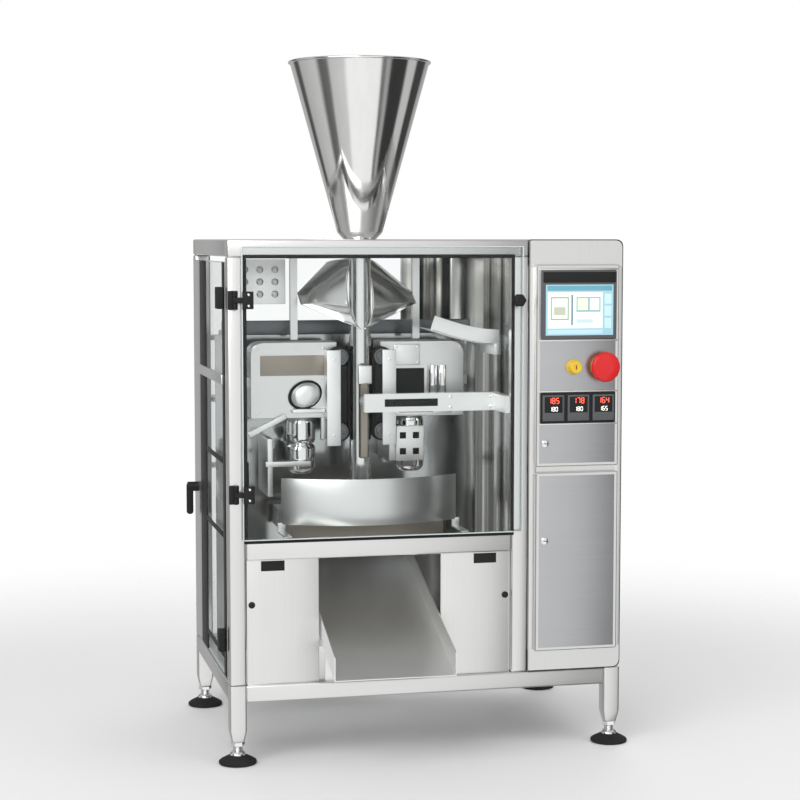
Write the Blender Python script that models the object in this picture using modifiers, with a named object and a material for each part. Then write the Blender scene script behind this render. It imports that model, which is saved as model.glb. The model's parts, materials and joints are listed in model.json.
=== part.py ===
"""A vertical form fill sealer: film is drawn over a forming collar into a tube, filled through
the funnel, sealed lengthwise and across, and cut into bags. Metres, +Z up, front faces -Y,
+X to the operator's right, origin on the floor under the middle of the whole machine."""

import math

import bmesh
import bpy
from mathutils import Vector

# Driving dimensions of the machine
OVERALL_WIDTH = 1.28
OVERALL_DEPTH = 1.50
MACHINE_HEIGHT = 1.54
FRONT_REACH = 0.20
REAR_REACH = 0.50
SIDE_REACH = 0.04
FRAME_TUBE = 0.05
BASE_BOTTOM = 0.185
FOOT_HEIGHT = 0.065
CABINET_WIDTH = 0.295
SEAT_GAP = 0.0003
SLIDE_CLEARANCE = 0.0005
EDGE_ROUND = 0.003
WELD_INSET = 0.002
WELD_OVERLAP = 0.010

# Forming set, measured down from the top of the machine
TUBE_SETBACK = 0.30
TUBE_RADIUS = 0.034
TUBE_WALL = 0.0025
TUBE_BOTTOM_DROP = 0.74
TUBE_FLANGE_RADIUS = 0.075
TUBE_FLANGE_THICKNESS = 0.008
FORMING_PLATE_THICKNESS = 0.012
FORMING_PLATE_DEPTH = 0.40
FORMING_PLATE_DROP = 0.028
COLLAR_CLEARANCE = 0.002
COLLAR_SHEET = 0.003
COLLAR_FRONT_DROP = 0.26
COLLAR_REAR_DROP = 0.055
COLLAR_WING_REACH = 0.182
COLLAR_TIP_DROP = 0.212
COLLAR_TIP_SETBACK = 0.020
COLLAR_SIDE_DROP = 0.158
COLLAR_SIDE_SETBACK = 0.080
COLLAR_BACK_REACH = 0.078
COLLAR_BACK_DROP = 0.072
COLLAR_BACK_SETBACK = 0.130
COLLAR_LIP = 0.006
COLLAR_CROWN = 0.010
COLLAR_OPENING = math.radians(9)
COLLAR_EDGE_STEPS = (6, 4, 5, 3)
HANGER_SIDE = 0.022
HANGER_BOTTOM_DROP = 0.31
FUNNEL_TOP_RADIUS = 0.215
FUNNEL_HEIGHT = 0.54
FUNNEL_THROAT_RADIUS = 0.070
FUNNEL_THROAT_HEIGHT = 0.020
FUNNEL_SPIGOT = 0.070
FUNNEL_CLEARANCE = 0.002
FUNNEL_WALL = 0.003

# Film pull units: two belts that grip the tube from the sides
PULLEY_RADIUS = 0.025
PULLEY_WIDTH = 0.044
PULLEY_SHAFT_RADIUS = 0.009
BELT_THICKNESS = 0.006
BELT_WIDTH = 0.040
PULLEY_UPPER_DROP = 0.36
PULLEY_SPAN = 0.23
PULL_STROKE = 0.020
PULL_HOUSING_LENGTH = 0.27
PULL_HOUSING_DEPTH = 0.10
PULL_HOUSING_HEIGHT = 0.235
PULL_HOUSING_TOP_DROP = 0.315
PULL_HOUSING_GAP = 0.034
PULL_ARM_WIDTH = 0.05
PULL_ARM_THICKNESS = 0.020
PULL_ARM_LENGTH = 0.070
PULL_BELT_GAP = 0.004
PULL_MOTOR_RADIUS = 0.045
PULL_MOTOR_LENGTH = 0.175
PULL_MOTOR_OFFSET = 0.105
RAIL_HEIGHT = 0.030
RAIL_DEPTH = 0.024
RAIL_DROP = 0.44
RAIL_STANDOFF_WIDTH = 0.070

# Back plate that carries the mechanism
BACK_PLATE_SETBACK = 0.20
BACK_PLATE_THICKNESS = 0.006
BACK_PLATE_TOP_DROP = 0.30
BACK_PLATE_LAP = 0.020

# Long seal: a heated bar pressed on the film's overlap at the front of the tube
LONG_SEAL_WIDTH = 0.026
LONG_SEAL_DEPTH = 0.028
LONG_SEAL_TOP_DROP = 0.38
LONG_SEAL_LENGTH = 0.29
LONG_SEAL_STROKE = 0.020
LONG_SEAL_FILM_GAP = 0.0015
LONG_SEAL_ROD_RADIUS = 0.008
LONG_SEAL_CYLINDER_RADIUS = 0.020
LONG_SEAL_CYLINDER_LENGTH = 0.055
LONG_SEAL_ARM_HEIGHT = 0.055
LONG_SEAL_ARM_THICKNESS = 0.022
LONG_SEAL_ARM_DROP = 0.465

# Cross seal jaws with their slide, blocks, cylinder and knife
JAW_DROP = 0.88
JAW_HEIGHT = 0.060
JAW_DEPTH = 0.050
JAW_LENGTH = 0.48
JAW_STROKE = 0.048
JAW_CLOSED_GAP = 0.002
JAW_ROD_RADIUS = 0.0125
JAW_ROD_SPACING = 0.40
JAW_BLOCK_SIDE = 0.060
JAW_BLOCK_DEPTH = 0.075
JAW_YOKE_SETBACK = 0.40
JAW_YOKE_THICKNESS = 0.020
JAW_TOOTH_COUNT = 8
JAW_TOOTH_DEPTH = 0.0012
JAW_CYLINDER_RADIUS = 0.034
JAW_CYLINDER_LENGTH = 0.12
JAW_PUSH_ROD_RADIUS = 0.008
JAW_PUSH_ROD_DROP = 0.018
KNIFE_LIFT = 0.009
KNIFE_MARGIN = 0.005
KNIFE_THICKNESS = 0.002
KNIFE_CLEARANCE = 0.0006
KNIFE_BACK_LENGTH = 0.22
KNIFE_BACK_HEIGHT = 0.014
KNIFE_BACK_THICKNESS = 0.012
KNIFE_STROKE = 0.020
KNIFE_RECESS = 0.006

# Discharge chute under the jaws
CHUTE_WIDTH = 0.36
CHUTE_SHEET = 0.003
CHUTE_WALL = 0.070
CHUTE_JAW_CLEARANCE = 0.020
CHUTE_LIP_HEIGHT = 0.045
CHUTE_LEG_WIDTH = 0.030
CHUTE_LEG_THICKNESS = 0.006

# Film unwind at the rear
ROLL_RADIUS = 0.20
ROLL_WIDTH = 0.32
ROLL_CORE_RADIUS = 0.038
ROLL_HEIGHT = 0.50
CORE_CLEARANCE = 0.0004
UNWIND_SHAFT_RADIUS = 0.0125
UNWIND_ARM_THICKNESS = 0.012
UNWIND_ARM_SPACING = 0.46
UNWIND_ARM_LIP = 0.030
UNWIND_ARM_END = 0.060
UNWIND_SHAFT_END = 0.024
UNWIND_FLANGE_RADIUS = 0.053
UNWIND_FLANGE_THICKNESS = 0.012
NOTCH_STEPS = 8
ROLLER_RADIUS = 0.025
ROLLER_SHAFT_RADIUS = 0.009
ROLLER_SHAFT_LENGTH = 0.03
ROLLER_LOWER_DROP = 0.74
ROLLER_UPPER_DROP = 0.32
DANCER_PIVOT_DROP = 0.52
DANCER_BAR_RADIUS = 0.012
DANCER_REACH = 0.20
DANCER_FALL = 0.16
DANCER_ARM_THICKNESS = 0.010
DANCER_ARM_HEIGHT = 0.036
DANCER_ARM_SPACING = 0.46

# Front door of clear sheet, its hinges and knob
DOOR_SHEET = 0.008
DOOR_STANDOFF = 0.006
DOOR_HINGE_MARGIN = 0.040
DOOR_LAP = 0.030
DOOR_RAIL_GAP = 0.005
DOOR_TOP_DROP = 0.020
DOOR_EAR_LENGTH = 0.030
HINGE_HEIGHT = 0.055
HINGE_UPPER_DROP = 0.175
HINGE_LOWER_DROP = 0.74
HINGE_PIN_RADIUS = 0.006
HINGE_PIN_INSET = 0.018
HINGE_LEAF_THICKNESS = 0.002
HINGE_LEAF_WIDTH = 0.030
DOOR_KNOB_RADIUS = 0.020
DOOR_KNOB_NECK = 0.010
DOOR_KNOB_LENGTH = 0.034
DOOR_KNOB_GRIP = 0.022
DOOR_KNOB_DROP = 0.18

# Left side door
SIDE_DOOR_SHEET = 0.010
SIDE_DOOR_GAP = 0.003
SIDE_DOOR_BOTTOM_GAP = 0.015
SIDE_DOOR_TOP_GAP = 0.015
SIDE_HANDLE_DROP = 0.80
SIDE_HANDLE_INSET = 0.045
SIDE_HANDLE_RADIUS = 0.016
SIDE_HANDLE_LENGTH = 0.09
SIDE_HANDLE_GRIP = 0.018

# Front rail under the window, and the sheets below it on both sides of the chute
FRONT_RAIL_TOP_DROP = 0.88
FRONT_RAIL_HEIGHT = 0.055
APRON_SHEET = 0.004
APRON_SETBACK = 0.012
APRON_CHUTE_GAP = 0.005

# Electrical cabinet and the controls on its door
CABINET_WALL = 0.004
CABINET_FLANGE = 0.018
CABINET_HEAD = 0.075
CABINET_SILL = 0.065
CABINET_LIP = 0.006
DOOR_PANEL_THICKNESS = 0.018
CONTROL_DOOR_HEIGHT = 0.605
SCREEN_WIDTH = 0.235
SCREEN_HEIGHT = 0.205
SCREEN_DEPTH = 0.016
SCREEN_DROP = 0.195
ESTOP_RADIUS = 0.045
ESTOP_CROWN_RADIUS = 0.032
ESTOP_STEM_RADIUS = 0.014
ESTOP_STEM_LENGTH = 0.020
ESTOP_CAP_LENGTH = 0.020
ESTOP_TRAVEL = 0.006
ESTOP_BOSS_RADIUS = 0.034
ESTOP_DROP = 0.381
ESTOP_SIDE = 0.079
KEY_SWITCH_RADIUS = 0.023
KEY_SWITCH_BARREL = 0.018
KEY_SWITCH_COLLAR = 0.008
KEY_SWITCH_LENGTH = 0.032
KEY_SWITCH_SIDE = 0.014
HEAT_PANEL_HEIGHT = 0.092
HEAT_PANEL_DEPTH = 0.012
HEAT_PANEL_DROP = 0.503
MAIN_SWITCH_RADIUS = 0.032
MAIN_SWITCH_CROWN = 0.020
MAIN_SWITCH_SHOULDER = 0.028
MAIN_SWITCH_DROP = 0.34

# Levelling feet
FOOT_PAD_RADIUS = 0.056
FOOT_PAD_HEIGHT = 0.026
FOOT_RIM_HEIGHT = 0.012
FOOT_NECK_RADIUS = 0.024
FOOT_ROD_RADIUS = 0.014
FOOT_NUT_RADIUS = 0.020
FOOT_NUT_HEIGHT = 0.012

ROUND_STEPS = 24
SMALL_ROUND_STEPS = 16
ROLL_STEPS = 48
KNOB_STEPS = 8
BELT_ARC_STEPS = 12
ARM_ARC_STEPS = 6

# Places that follow from the sizes above
LEFT = SIDE_REACH - OVERALL_WIDTH / 2
RIGHT = OVERALL_WIDTH / 2 - SIDE_REACH
FRONT = FRONT_REACH - OVERALL_DEPTH / 2
REAR = OVERALL_DEPTH / 2 - REAR_REACH
BASE_TOP = BASE_BOTTOM + FRAME_TUBE
TOP_UNDERSIDE = MACHINE_HEIGHT - FRAME_TUBE
CABINET_LEFT = RIGHT - CABINET_WIDTH
POST_RIGHT = CABINET_LEFT - FRAME_TUBE
BAY_LEFT = LEFT + FRAME_TUBE
TUBE_X = (BAY_LEFT + POST_RIGHT) / 2
TUBE_Y = FRONT + TUBE_SETBACK
BACK_PLATE_Y = TUBE_Y + BACK_PLATE_SETBACK
PLATE_TOP = MACHINE_HEIGHT - FORMING_PLATE_DROP
PLATE_BOTTOM = PLATE_TOP - FORMING_PLATE_THICKNESS
PULL_FRONT = TUBE_Y + BELT_WIDTH / 2 + PULL_BELT_GAP
RAIL_Y = PULL_FRONT + PULL_HOUSING_DEPTH / 2
RAIL_Z = MACHINE_HEIGHT - RAIL_DROP
PULLEY_UPPER_Z = MACHINE_HEIGHT - PULLEY_UPPER_DROP
PULLEY_OFFSET = TUBE_RADIUS + 2 * SEAT_GAP + BELT_THICKNESS + PULLEY_RADIUS
COLLAR_NECK = TUBE_RADIUS + COLLAR_CLEARANCE + COLLAR_SHEET
COLLAR_STEPS = 2 * sum(COLLAR_EDGE_STEPS)
JAW_Z = MACHINE_HEIGHT - JAW_DROP
JAW_OPEN = JAW_STROKE + JAW_CLOSED_GAP
KNIFE_Z = JAW_Z + KNIFE_LIFT
KNIFE_LENGTH = JAW_ROD_SPACING - JAW_BLOCK_SIDE - 2 * KNIFE_MARGIN
ROLL_Y = REAR + REAR_REACH - ROLL_RADIUS
ROLLER_Y = REAR - FRAME_TUBE / 2

# Colour, roughness and metallic value of each finish
FINISHES = {
    "satin_steel": ((0.78, 0.78, 0.76), 0.32, 1.0),
    "polished_steel": ((0.80, 0.80, 0.79), 0.14, 1.0),
    "panel_steel": ((0.52, 0.53, 0.54), 0.38, 1.0),
    "machined_aluminium": ((0.72, 0.73, 0.74), 0.35, 1.0),
    "black_rubber": ((0.02, 0.02, 0.02), 0.70, 0.0),
    "black_plastic": ((0.03, 0.03, 0.03), 0.45, 0.0),
    "red_plastic": ((0.75, 0.02, 0.02), 0.35, 0.0),
    "yellow_plastic": ((0.85, 0.62, 0.05), 0.35, 0.0),
    "clear_sheet": ((0.90, 0.93, 0.94), 0.05, 0.0),
    "screen_glass": ((0.25, 0.45, 0.55), 0.10, 0.0),
    "wound_film": ((0.88, 0.89, 0.90), 0.25, 0.0),
    "heater_bronze": ((0.40, 0.35, 0.29), 0.40, 1.0),
}

# Turns that lay a piece's own Z axis along a world axis
AXIS_TURNS = {
    "+Z": (0.0, 0.0, 0.0),
    "+X": (0.0, math.pi / 2, 0.0),
    "-X": (0.0, -math.pi / 2, 0.0),
    "+Y": (-math.pi / 2, 0.0, 0.0),
    "-Y": (math.pi / 2, 0.0, 0.0),
}

# Turn that stands a flat outline on the YZ plane, its own x along Y and its own y along Z
SIDE_TURN = (math.pi / 2, 0.0, math.pi / 2)


def clear_scene():
    """Empties the file and makes one collection for the parts and one for the shapes
    that cut or join them."""
    for old in list(bpy.data.objects):
        bpy.data.objects.remove(old)
    made = []
    for title in ("vertical_form_fill_sealer", "cutters"):
        collection = bpy.data.collections.new(title)
        bpy.context.scene.collection.children.link(collection)
        made.append(collection)
    return made


PARTS, CUTTERS = clear_scene()


def finish_material(title):
    """The Principled material of one finish, made once."""
    found = bpy.data.materials.get(title)
    if found:
        return found
    colour, roughness, metallic = FINISHES[title]
    made = bpy.data.materials.new(title)
    made.use_nodes = True
    shader = made.node_tree.nodes["Principled BSDF"]
    shader.inputs["Base Color"].default_value = (*colour, 1.0)
    shader.inputs["Roughness"].default_value = roughness
    shader.inputs["Metallic"].default_value = metallic
    return made


def add_piece(name, data, finish, place):
    """Links one named object at its place, with its finish."""
    piece = bpy.data.objects.new(name, data)
    data.materials.append(finish_material(finish))
    piece.location = place
    PARTS.objects.link(piece)
    return piece


def block(name, low, high, finish, pivot=None, edge=0.0):
    """A box between two corners, with its origin at the pivot and bevelled edges if asked."""
    low, high = Vector(low), Vector(high)
    pivot = Vector(pivot) if pivot else (low + high) / 2
    shape = bmesh.new()
    bmesh.ops.create_cube(shape, size=1.0)
    bmesh.ops.scale(shape, vec=high - low, verts=shape.verts)
    bmesh.ops.translate(shape, vec=(low + high) / 2 - pivot, verts=shape.verts)
    mesh = bpy.data.meshes.new(name)
    shape.to_mesh(mesh)
    shape.free()
    piece = add_piece(name, mesh, finish, pivot)
    if edge:
        bevel = piece.modifiers.new("rounded_edges", "BEVEL")
        bevel.width = edge
        bevel.segments = 1
    return piece


def turned(name, profile, place, axis, finish, steps=ROUND_STEPS, hollow=False):
    """A turned piece: (radius, height) points down its outer side, carried round the axis.
    A hollow piece's points go on up its inner side and close."""
    mesh = bpy.data.meshes.new(name)
    count = len(profile)
    edges = [(i, i + 1) for i in range(count - 1)]
    if hollow:
        edges.append((count - 1, 0))
    mesh.from_pydata([(radius, 0.0, height) for radius, height in profile], edges, [])
    piece = add_piece(name, mesh, finish, place)
    piece.rotation_euler = AXIS_TURNS[axis]
    screw = piece.modifiers.new("turned", "SCREW")
    screw.steps = steps
    screw.render_steps = steps
    screw.use_merge_vertices = True
    screw.merge_threshold = 0.00005
    screw.use_smooth_shade = True
    return piece


def bar(name, radius, length, place, axis, finish, steps=SMALL_ROUND_STEPS):
    """A plain round bar that starts at its place and runs along the axis."""
    profile = [(0.0, length), (radius, length), (radius, 0.0), (0.0, 0.0)]
    return turned(name, profile, place, axis, finish, steps)


def outline(name, loops, thickness, place, turn, finish):
    """A flat plate: closed loops of points, the inner ones holes, extruded both ways
    from the middle."""
    curve = bpy.data.curves.new(name, "CURVE")
    curve.dimensions = "2D"
    curve.fill_mode = "BOTH"
    curve.extrude = thickness / 2
    for loop in loops:
        spline = curve.splines.new("POLY")
        spline.points.add(len(loop) - 1)
        for point, (u, v) in zip(spline.points, loop):
            point.co = (u, v, 0.0, 1.0)
        spline.use_cyclic_u = True
    piece = add_piece(name, curve, finish, place)
    piece.rotation_euler = turn
    return piece


def as_mesh(piece):
    """The same piece as a mesh whose caps are welded, so that it can be cut or joined."""
    bpy.context.view_layer.update()
    graph = bpy.context.evaluated_depsgraph_get()
    mesh = bpy.data.meshes.new_from_object(piece.evaluated_get(graph))
    shape = bmesh.new()
    shape.from_mesh(mesh)
    bmesh.ops.remove_doubles(shape, verts=shape.verts, dist=0.00001)
    shape.to_mesh(mesh)
    shape.free()
    name, place = piece.name, piece.matrix_world.copy()
    bpy.data.objects.remove(piece)
    made = bpy.data.objects.new(name, mesh)
    made.matrix_world = place
    PARTS.objects.link(made)
    return made


def combine(piece, other, operation):
    """Joins the other shape to the piece, or cuts it away, and hides it."""
    PARTS.objects.unlink(other)
    CUTTERS.objects.link(other)
    other.hide_render = True
    other.display_type = "WIRE"
    change = piece.modifiers.new(other.name, "BOOLEAN")
    change.operation = operation
    change.object = other


def join(piece, *others):
    for other in others:
        combine(piece, other, "UNION")


def cut(piece, *others):
    for other in others:
        combine(piece, other, "DIFFERENCE")


def ring_frame(name, low, high, finish):
    """A welded rectangle of square tube that lies flat."""
    ring = block(name, low, high, finish, edge=EDGE_ROUND)
    bay_low = (low[0] + FRAME_TUBE, low[1] + FRAME_TUBE, low[2] - FRAME_TUBE)
    bay_high = (high[0] - FRAME_TUBE, high[1] - FRAME_TUBE, high[2] + FRAME_TUBE)
    cut(ring, block(name + "_bay", bay_low, bay_high, finish))
    return ring


def build_frame():
    """Welded base with four legs, four posts, the top ring, and the rail under the window
    with its two sheets."""
    base = ring_frame("base_frame", (LEFT, FRONT, BASE_BOTTOM), (RIGHT, REAR, BASE_TOP), "satin_steel")
    cross_low = (POST_RIGHT, FRONT + FRAME_TUBE - WELD_OVERLAP, BASE_BOTTOM + WELD_INSET)
    cross_high = (CABINET_LEFT, REAR - FRAME_TUBE + WELD_OVERLAP, BASE_TOP - WELD_INSET)
    join(base, block("base_cross_tube", cross_low, cross_high, "satin_steel"))
    leg_side = FRAME_TUBE - 2 * WELD_INSET
    for side, x in (("left", LEFT + WELD_INSET), ("right", RIGHT - FRAME_TUBE + WELD_INSET)):
        for end, y in (("front", FRONT + WELD_INSET), ("rear", REAR - FRAME_TUBE + WELD_INSET)):
            leg_high = (x + leg_side, y + leg_side, BASE_BOTTOM + WELD_OVERLAP)
            join(base, block(f"leg_{end}_{side}", (x, y, FOOT_HEIGHT), leg_high, "satin_steel",
                             edge=EDGE_ROUND))
            foot(f"levelling_foot_{end}_{side}", x + leg_side / 2, y + leg_side / 2)

    post_bottom, post_top = BASE_TOP + SEAT_GAP, TOP_UNDERSIDE - SEAT_GAP
    for side, x in (("left", LEFT), ("right", POST_RIGHT)):
        for end, y in (("front", FRONT), ("rear", REAR - FRAME_TUBE)):
            block(f"post_{end}_{side}", (x, y, post_bottom),
                  (x + FRAME_TUBE, y + FRAME_TUBE, post_top), "satin_steel", edge=EDGE_ROUND)
    ring_frame("top_frame", (LEFT, FRONT, TOP_UNDERSIDE),
               (CABINET_LEFT - SEAT_GAP, REAR, MACHINE_HEIGHT), "satin_steel")
    rail_top = MACHINE_HEIGHT - FRONT_RAIL_TOP_DROP
    rail_bottom = rail_top - FRONT_RAIL_HEIGHT
    rail_left, rail_right = BAY_LEFT + SEAT_GAP, POST_RIGHT - SEAT_GAP
    rail = block("front_rail", (rail_left, FRONT, rail_bottom),
                 (rail_right, FRONT + FRAME_TUBE, rail_top), "satin_steel", edge=EDGE_ROUND)
    chute_reach = CHUTE_WIDTH / 2 + APRON_CHUTE_GAP
    apron_y = FRONT + APRON_SETBACK
    for side, start, end in (("left", rail_left + WELD_INSET, TUBE_X - chute_reach),
                             ("right", TUBE_X + chute_reach, rail_right - WELD_INSET)):
        join(rail, block(f"apron_{side}", (start, apron_y, BASE_TOP + SEAT_GAP),
                         (end, apron_y + APRON_SHEET, rail_bottom + WELD_OVERLAP), "satin_steel"))


def foot(name, x, y):
    """A levelling foot: rubber pad, threaded rod and lock nut, turned as one piece under a leg."""
    top = FOOT_HEIGHT - SEAT_GAP
    nut = top - FOOT_NUT_HEIGHT
    neck = FOOT_PAD_HEIGHT + FOOT_ROD_RADIUS
    profile = [(0.0, top), (FOOT_NUT_RADIUS, top), (FOOT_NUT_RADIUS, nut), (FOOT_ROD_RADIUS, nut),
               (FOOT_ROD_RADIUS, neck), (FOOT_NECK_RADIUS, FOOT_PAD_HEIGHT),
               (FOOT_PAD_RADIUS, FOOT_RIM_HEIGHT), (FOOT_PAD_RADIUS, 0.0), (0.0, 0.0)]
    turned(name, profile, (x, y, 0.0), "+Z", "black_rubber")


def build_back_plate():
    """The wall behind the tube. It stands on the base and has holes for the jaw rods
    and the push rod."""
    plate = block("back_plate", (BAY_LEFT - BACK_PLATE_LAP, BACK_PLATE_Y, BASE_TOP + SEAT_GAP),
                  (POST_RIGHT + BACK_PLATE_LAP, BACK_PLATE_Y + BACK_PLATE_THICKNESS,
                   MACHINE_HEIGHT - BACK_PLATE_TOP_DROP), "polished_steel")
    start = BACK_PLATE_Y - BACK_PLATE_THICKNESS
    length = 3 * BACK_PLATE_THICKNESS
    for side in (-1, 1):
        cut(plate, bar(f"plate_rod_hole_{side}", JAW_ROD_RADIUS + SLIDE_CLEARANCE, length,
                       (TUBE_X + side * JAW_ROD_SPACING / 2, start, JAW_Z), "+Y", "polished_steel"))
    cut(plate, bar("plate_push_hole", JAW_PUSH_ROD_RADIUS + SLIDE_CLEARANCE, length,
                   (TUBE_X, start, JAW_Z - JAW_PUSH_ROD_DROP), "+Y", "polished_steel"))


def collar_edge():
    """The left half of the collar's outer edge, from the slit at the front to the middle of the rear:
    straight stretches between its corners, each in its own number of steps."""
    reach, back_reach, lip = -COLLAR_WING_REACH, -COLLAR_BACK_REACH, COLLAR_NECK + COLLAR_LIP
    slit = Vector((-lip * math.sin(COLLAR_OPENING), -lip * math.cos(COLLAR_OPENING),
                   MACHINE_HEIGHT - COLLAR_FRONT_DROP))
    corners = [slit,
               Vector((reach, COLLAR_TIP_SETBACK, MACHINE_HEIGHT - COLLAR_TIP_DROP)),
               Vector((reach, COLLAR_SIDE_SETBACK, MACHINE_HEIGHT - COLLAR_SIDE_DROP)),
               Vector((back_reach, COLLAR_BACK_SETBACK, MACHINE_HEIGHT - COLLAR_BACK_DROP)),
               Vector((0.0, COLLAR_BACK_SETBACK, MACHINE_HEIGHT - COLLAR_BACK_DROP))]
    points = [slit]
    for start, end, steps in zip(corners, corners[1:], COLLAR_EDGE_STEPS):
        points += [start.lerp(end, step / steps) for step in range(1, steps + 1)]
    return points


def collar_rows():
    """Rows of points from the neck, which follows the tube, to the collar's outer edge.
    The neck climbs from front to rear, and a low crown lies between the two."""
    left_edge = collar_edge()
    right_edge = [Vector((-point.x, point.y, point.z)) for point in left_edge[-2::-1]]
    climb_height = COLLAR_FRONT_DROP - COLLAR_REAR_DROP
    rows = ([], [], [])
    for step, edge in enumerate(left_edge + right_edge):
        turn = COLLAR_OPENING + 2 * (math.pi - COLLAR_OPENING) * step / COLLAR_STEPS
        climb = climb_height * (1 - math.cos(turn)) / 2
        neck = Vector((-COLLAR_NECK * math.sin(turn), -COLLAR_NECK * math.cos(turn),
                       MACHINE_HEIGHT - COLLAR_FRONT_DROP + climb))
        crown = COLLAR_CROWN * (edge - neck).length / COLLAR_WING_REACH
        middle = neck.lerp(edge, 0.5) + Vector((0.0, 0.0, crown))
        for row, point in zip(rows, (neck, middle, edge)):
            row.append(point)
    return rows


def build_collar():
    """The folded sheet that turns the flat film into a tube. Returns its right wing tip, from its axis."""
    rows = collar_rows()
    across = COLLAR_STEPS + 1
    faces = [(r * across + c, r * across + c + 1, (r + 1) * across + c + 1, (r + 1) * across + c)
             for r in range(len(rows) - 1) for c in range(COLLAR_STEPS)]
    mesh = bpy.data.meshes.new("forming_collar")
    mesh.from_pydata([point for row in rows for point in row], [], faces)
    mesh.shade_smooth()
    collar = add_piece("forming_collar", mesh, "polished_steel", (TUBE_X, TUBE_Y, 0.0))
    sheet = collar.modifiers.new("sheet", "SOLIDIFY")
    sheet.thickness = COLLAR_SHEET
    sheet.offset = 0.0
    collar = as_mesh(collar)
    return max((vertex.co for vertex in collar.data.vertices), key=lambda point: point.x)


def build_forming_set():
    """The plate in the top ring, the collar hung under it, the tube through it and the funnel."""
    plate = block("forming_plate", (BAY_LEFT + SEAT_GAP, TUBE_Y - FORMING_PLATE_DEPTH / 2, PLATE_BOTTOM),
                  (POST_RIGHT - 2 * SEAT_GAP, TUBE_Y + FORMING_PLATE_DEPTH / 2, PLATE_TOP), "satin_steel")
    cut(plate, bar("plate_tube_hole", TUBE_RADIUS + SEAT_GAP, 3 * FORMING_PLATE_THICKNESS,
                   (TUBE_X, TUBE_Y, PLATE_BOTTOM - FORMING_PLATE_THICKNESS), "+Z", "satin_steel",
                   ROUND_STEPS))
    tip = build_collar()
    half = HANGER_SIDE / 2
    for side, sign in (("left", -1), ("right", 1)):
        x, y = TUBE_X + sign * (tip.x + SEAT_GAP + half), TUBE_Y + tip.y
        join(plate, block(f"collar_hanger_{side}",
                          (x - half, y - half, MACHINE_HEIGHT - HANGER_BOTTOM_DROP),
                          (x + half, y + half, PLATE_BOTTOM + FORMING_PLATE_THICKNESS / 2), "satin_steel"))

    seat = PLATE_TOP + SEAT_GAP
    flange_top = seat + TUBE_FLANGE_THICKNESS
    outer, inner = TUBE_RADIUS - SEAT_GAP, TUBE_RADIUS - TUBE_WALL
    bottom = MACHINE_HEIGHT - TUBE_BOTTOM_DROP
    turned("forming_tube",
           [(inner, flange_top), (TUBE_FLANGE_RADIUS, flange_top), (TUBE_FLANGE_RADIUS, seat),
            (outer, seat), (outer, bottom), (inner, bottom)],
           (TUBE_X, TUBE_Y, 0.0), "+Z", "polished_steel", hollow=True)

    top = MACHINE_HEIGHT + FUNNEL_HEIGHT
    throat_z = MACHINE_HEIGHT + FUNNEL_THROAT_HEIGHT
    rest = flange_top + SEAT_GAP
    spigot = inner - FUNNEL_CLEARANCE
    bore = spigot - FUNNEL_WALL
    spigot_bottom = rest - FUNNEL_SPIGOT
    rim = FUNNEL_TOP_RADIUS + FUNNEL_WALL
    turned("filling_funnel",
           [(FUNNEL_TOP_RADIUS - FUNNEL_WALL, top), (rim, top), (FUNNEL_TOP_RADIUS, top - 2 * FUNNEL_WALL),
            (FUNNEL_THROAT_RADIUS, throat_z), (TUBE_RADIUS, rest + FUNNEL_WALL), (TUBE_RADIUS, rest),
            (spigot, rest), (spigot, spigot_bottom), (bore, spigot_bottom),
            (bore, rest + 2 * FUNNEL_WALL), (FUNNEL_THROAT_RADIUS - FUNNEL_WALL, throat_z + FUNNEL_WALL)],
           (TUBE_X, TUBE_Y, 0.0), "+Z", "polished_steel", hollow=True)


def stadium(radius, span):
    """A vertical loop round two centres a span apart: two half circles and straight runs.
    The flats of the half circles clear the radius."""
    radius = radius / math.cos(math.pi / (2 * BELT_ARC_STEPS))
    turns = [math.pi * i / BELT_ARC_STEPS for i in range(BELT_ARC_STEPS + 1)]
    upper = [(radius * math.cos(a), span + radius * math.sin(a)) for a in turns]
    lower = [(-radius * math.cos(a), -radius * math.sin(a)) for a in turns]
    return upper + lower


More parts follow.
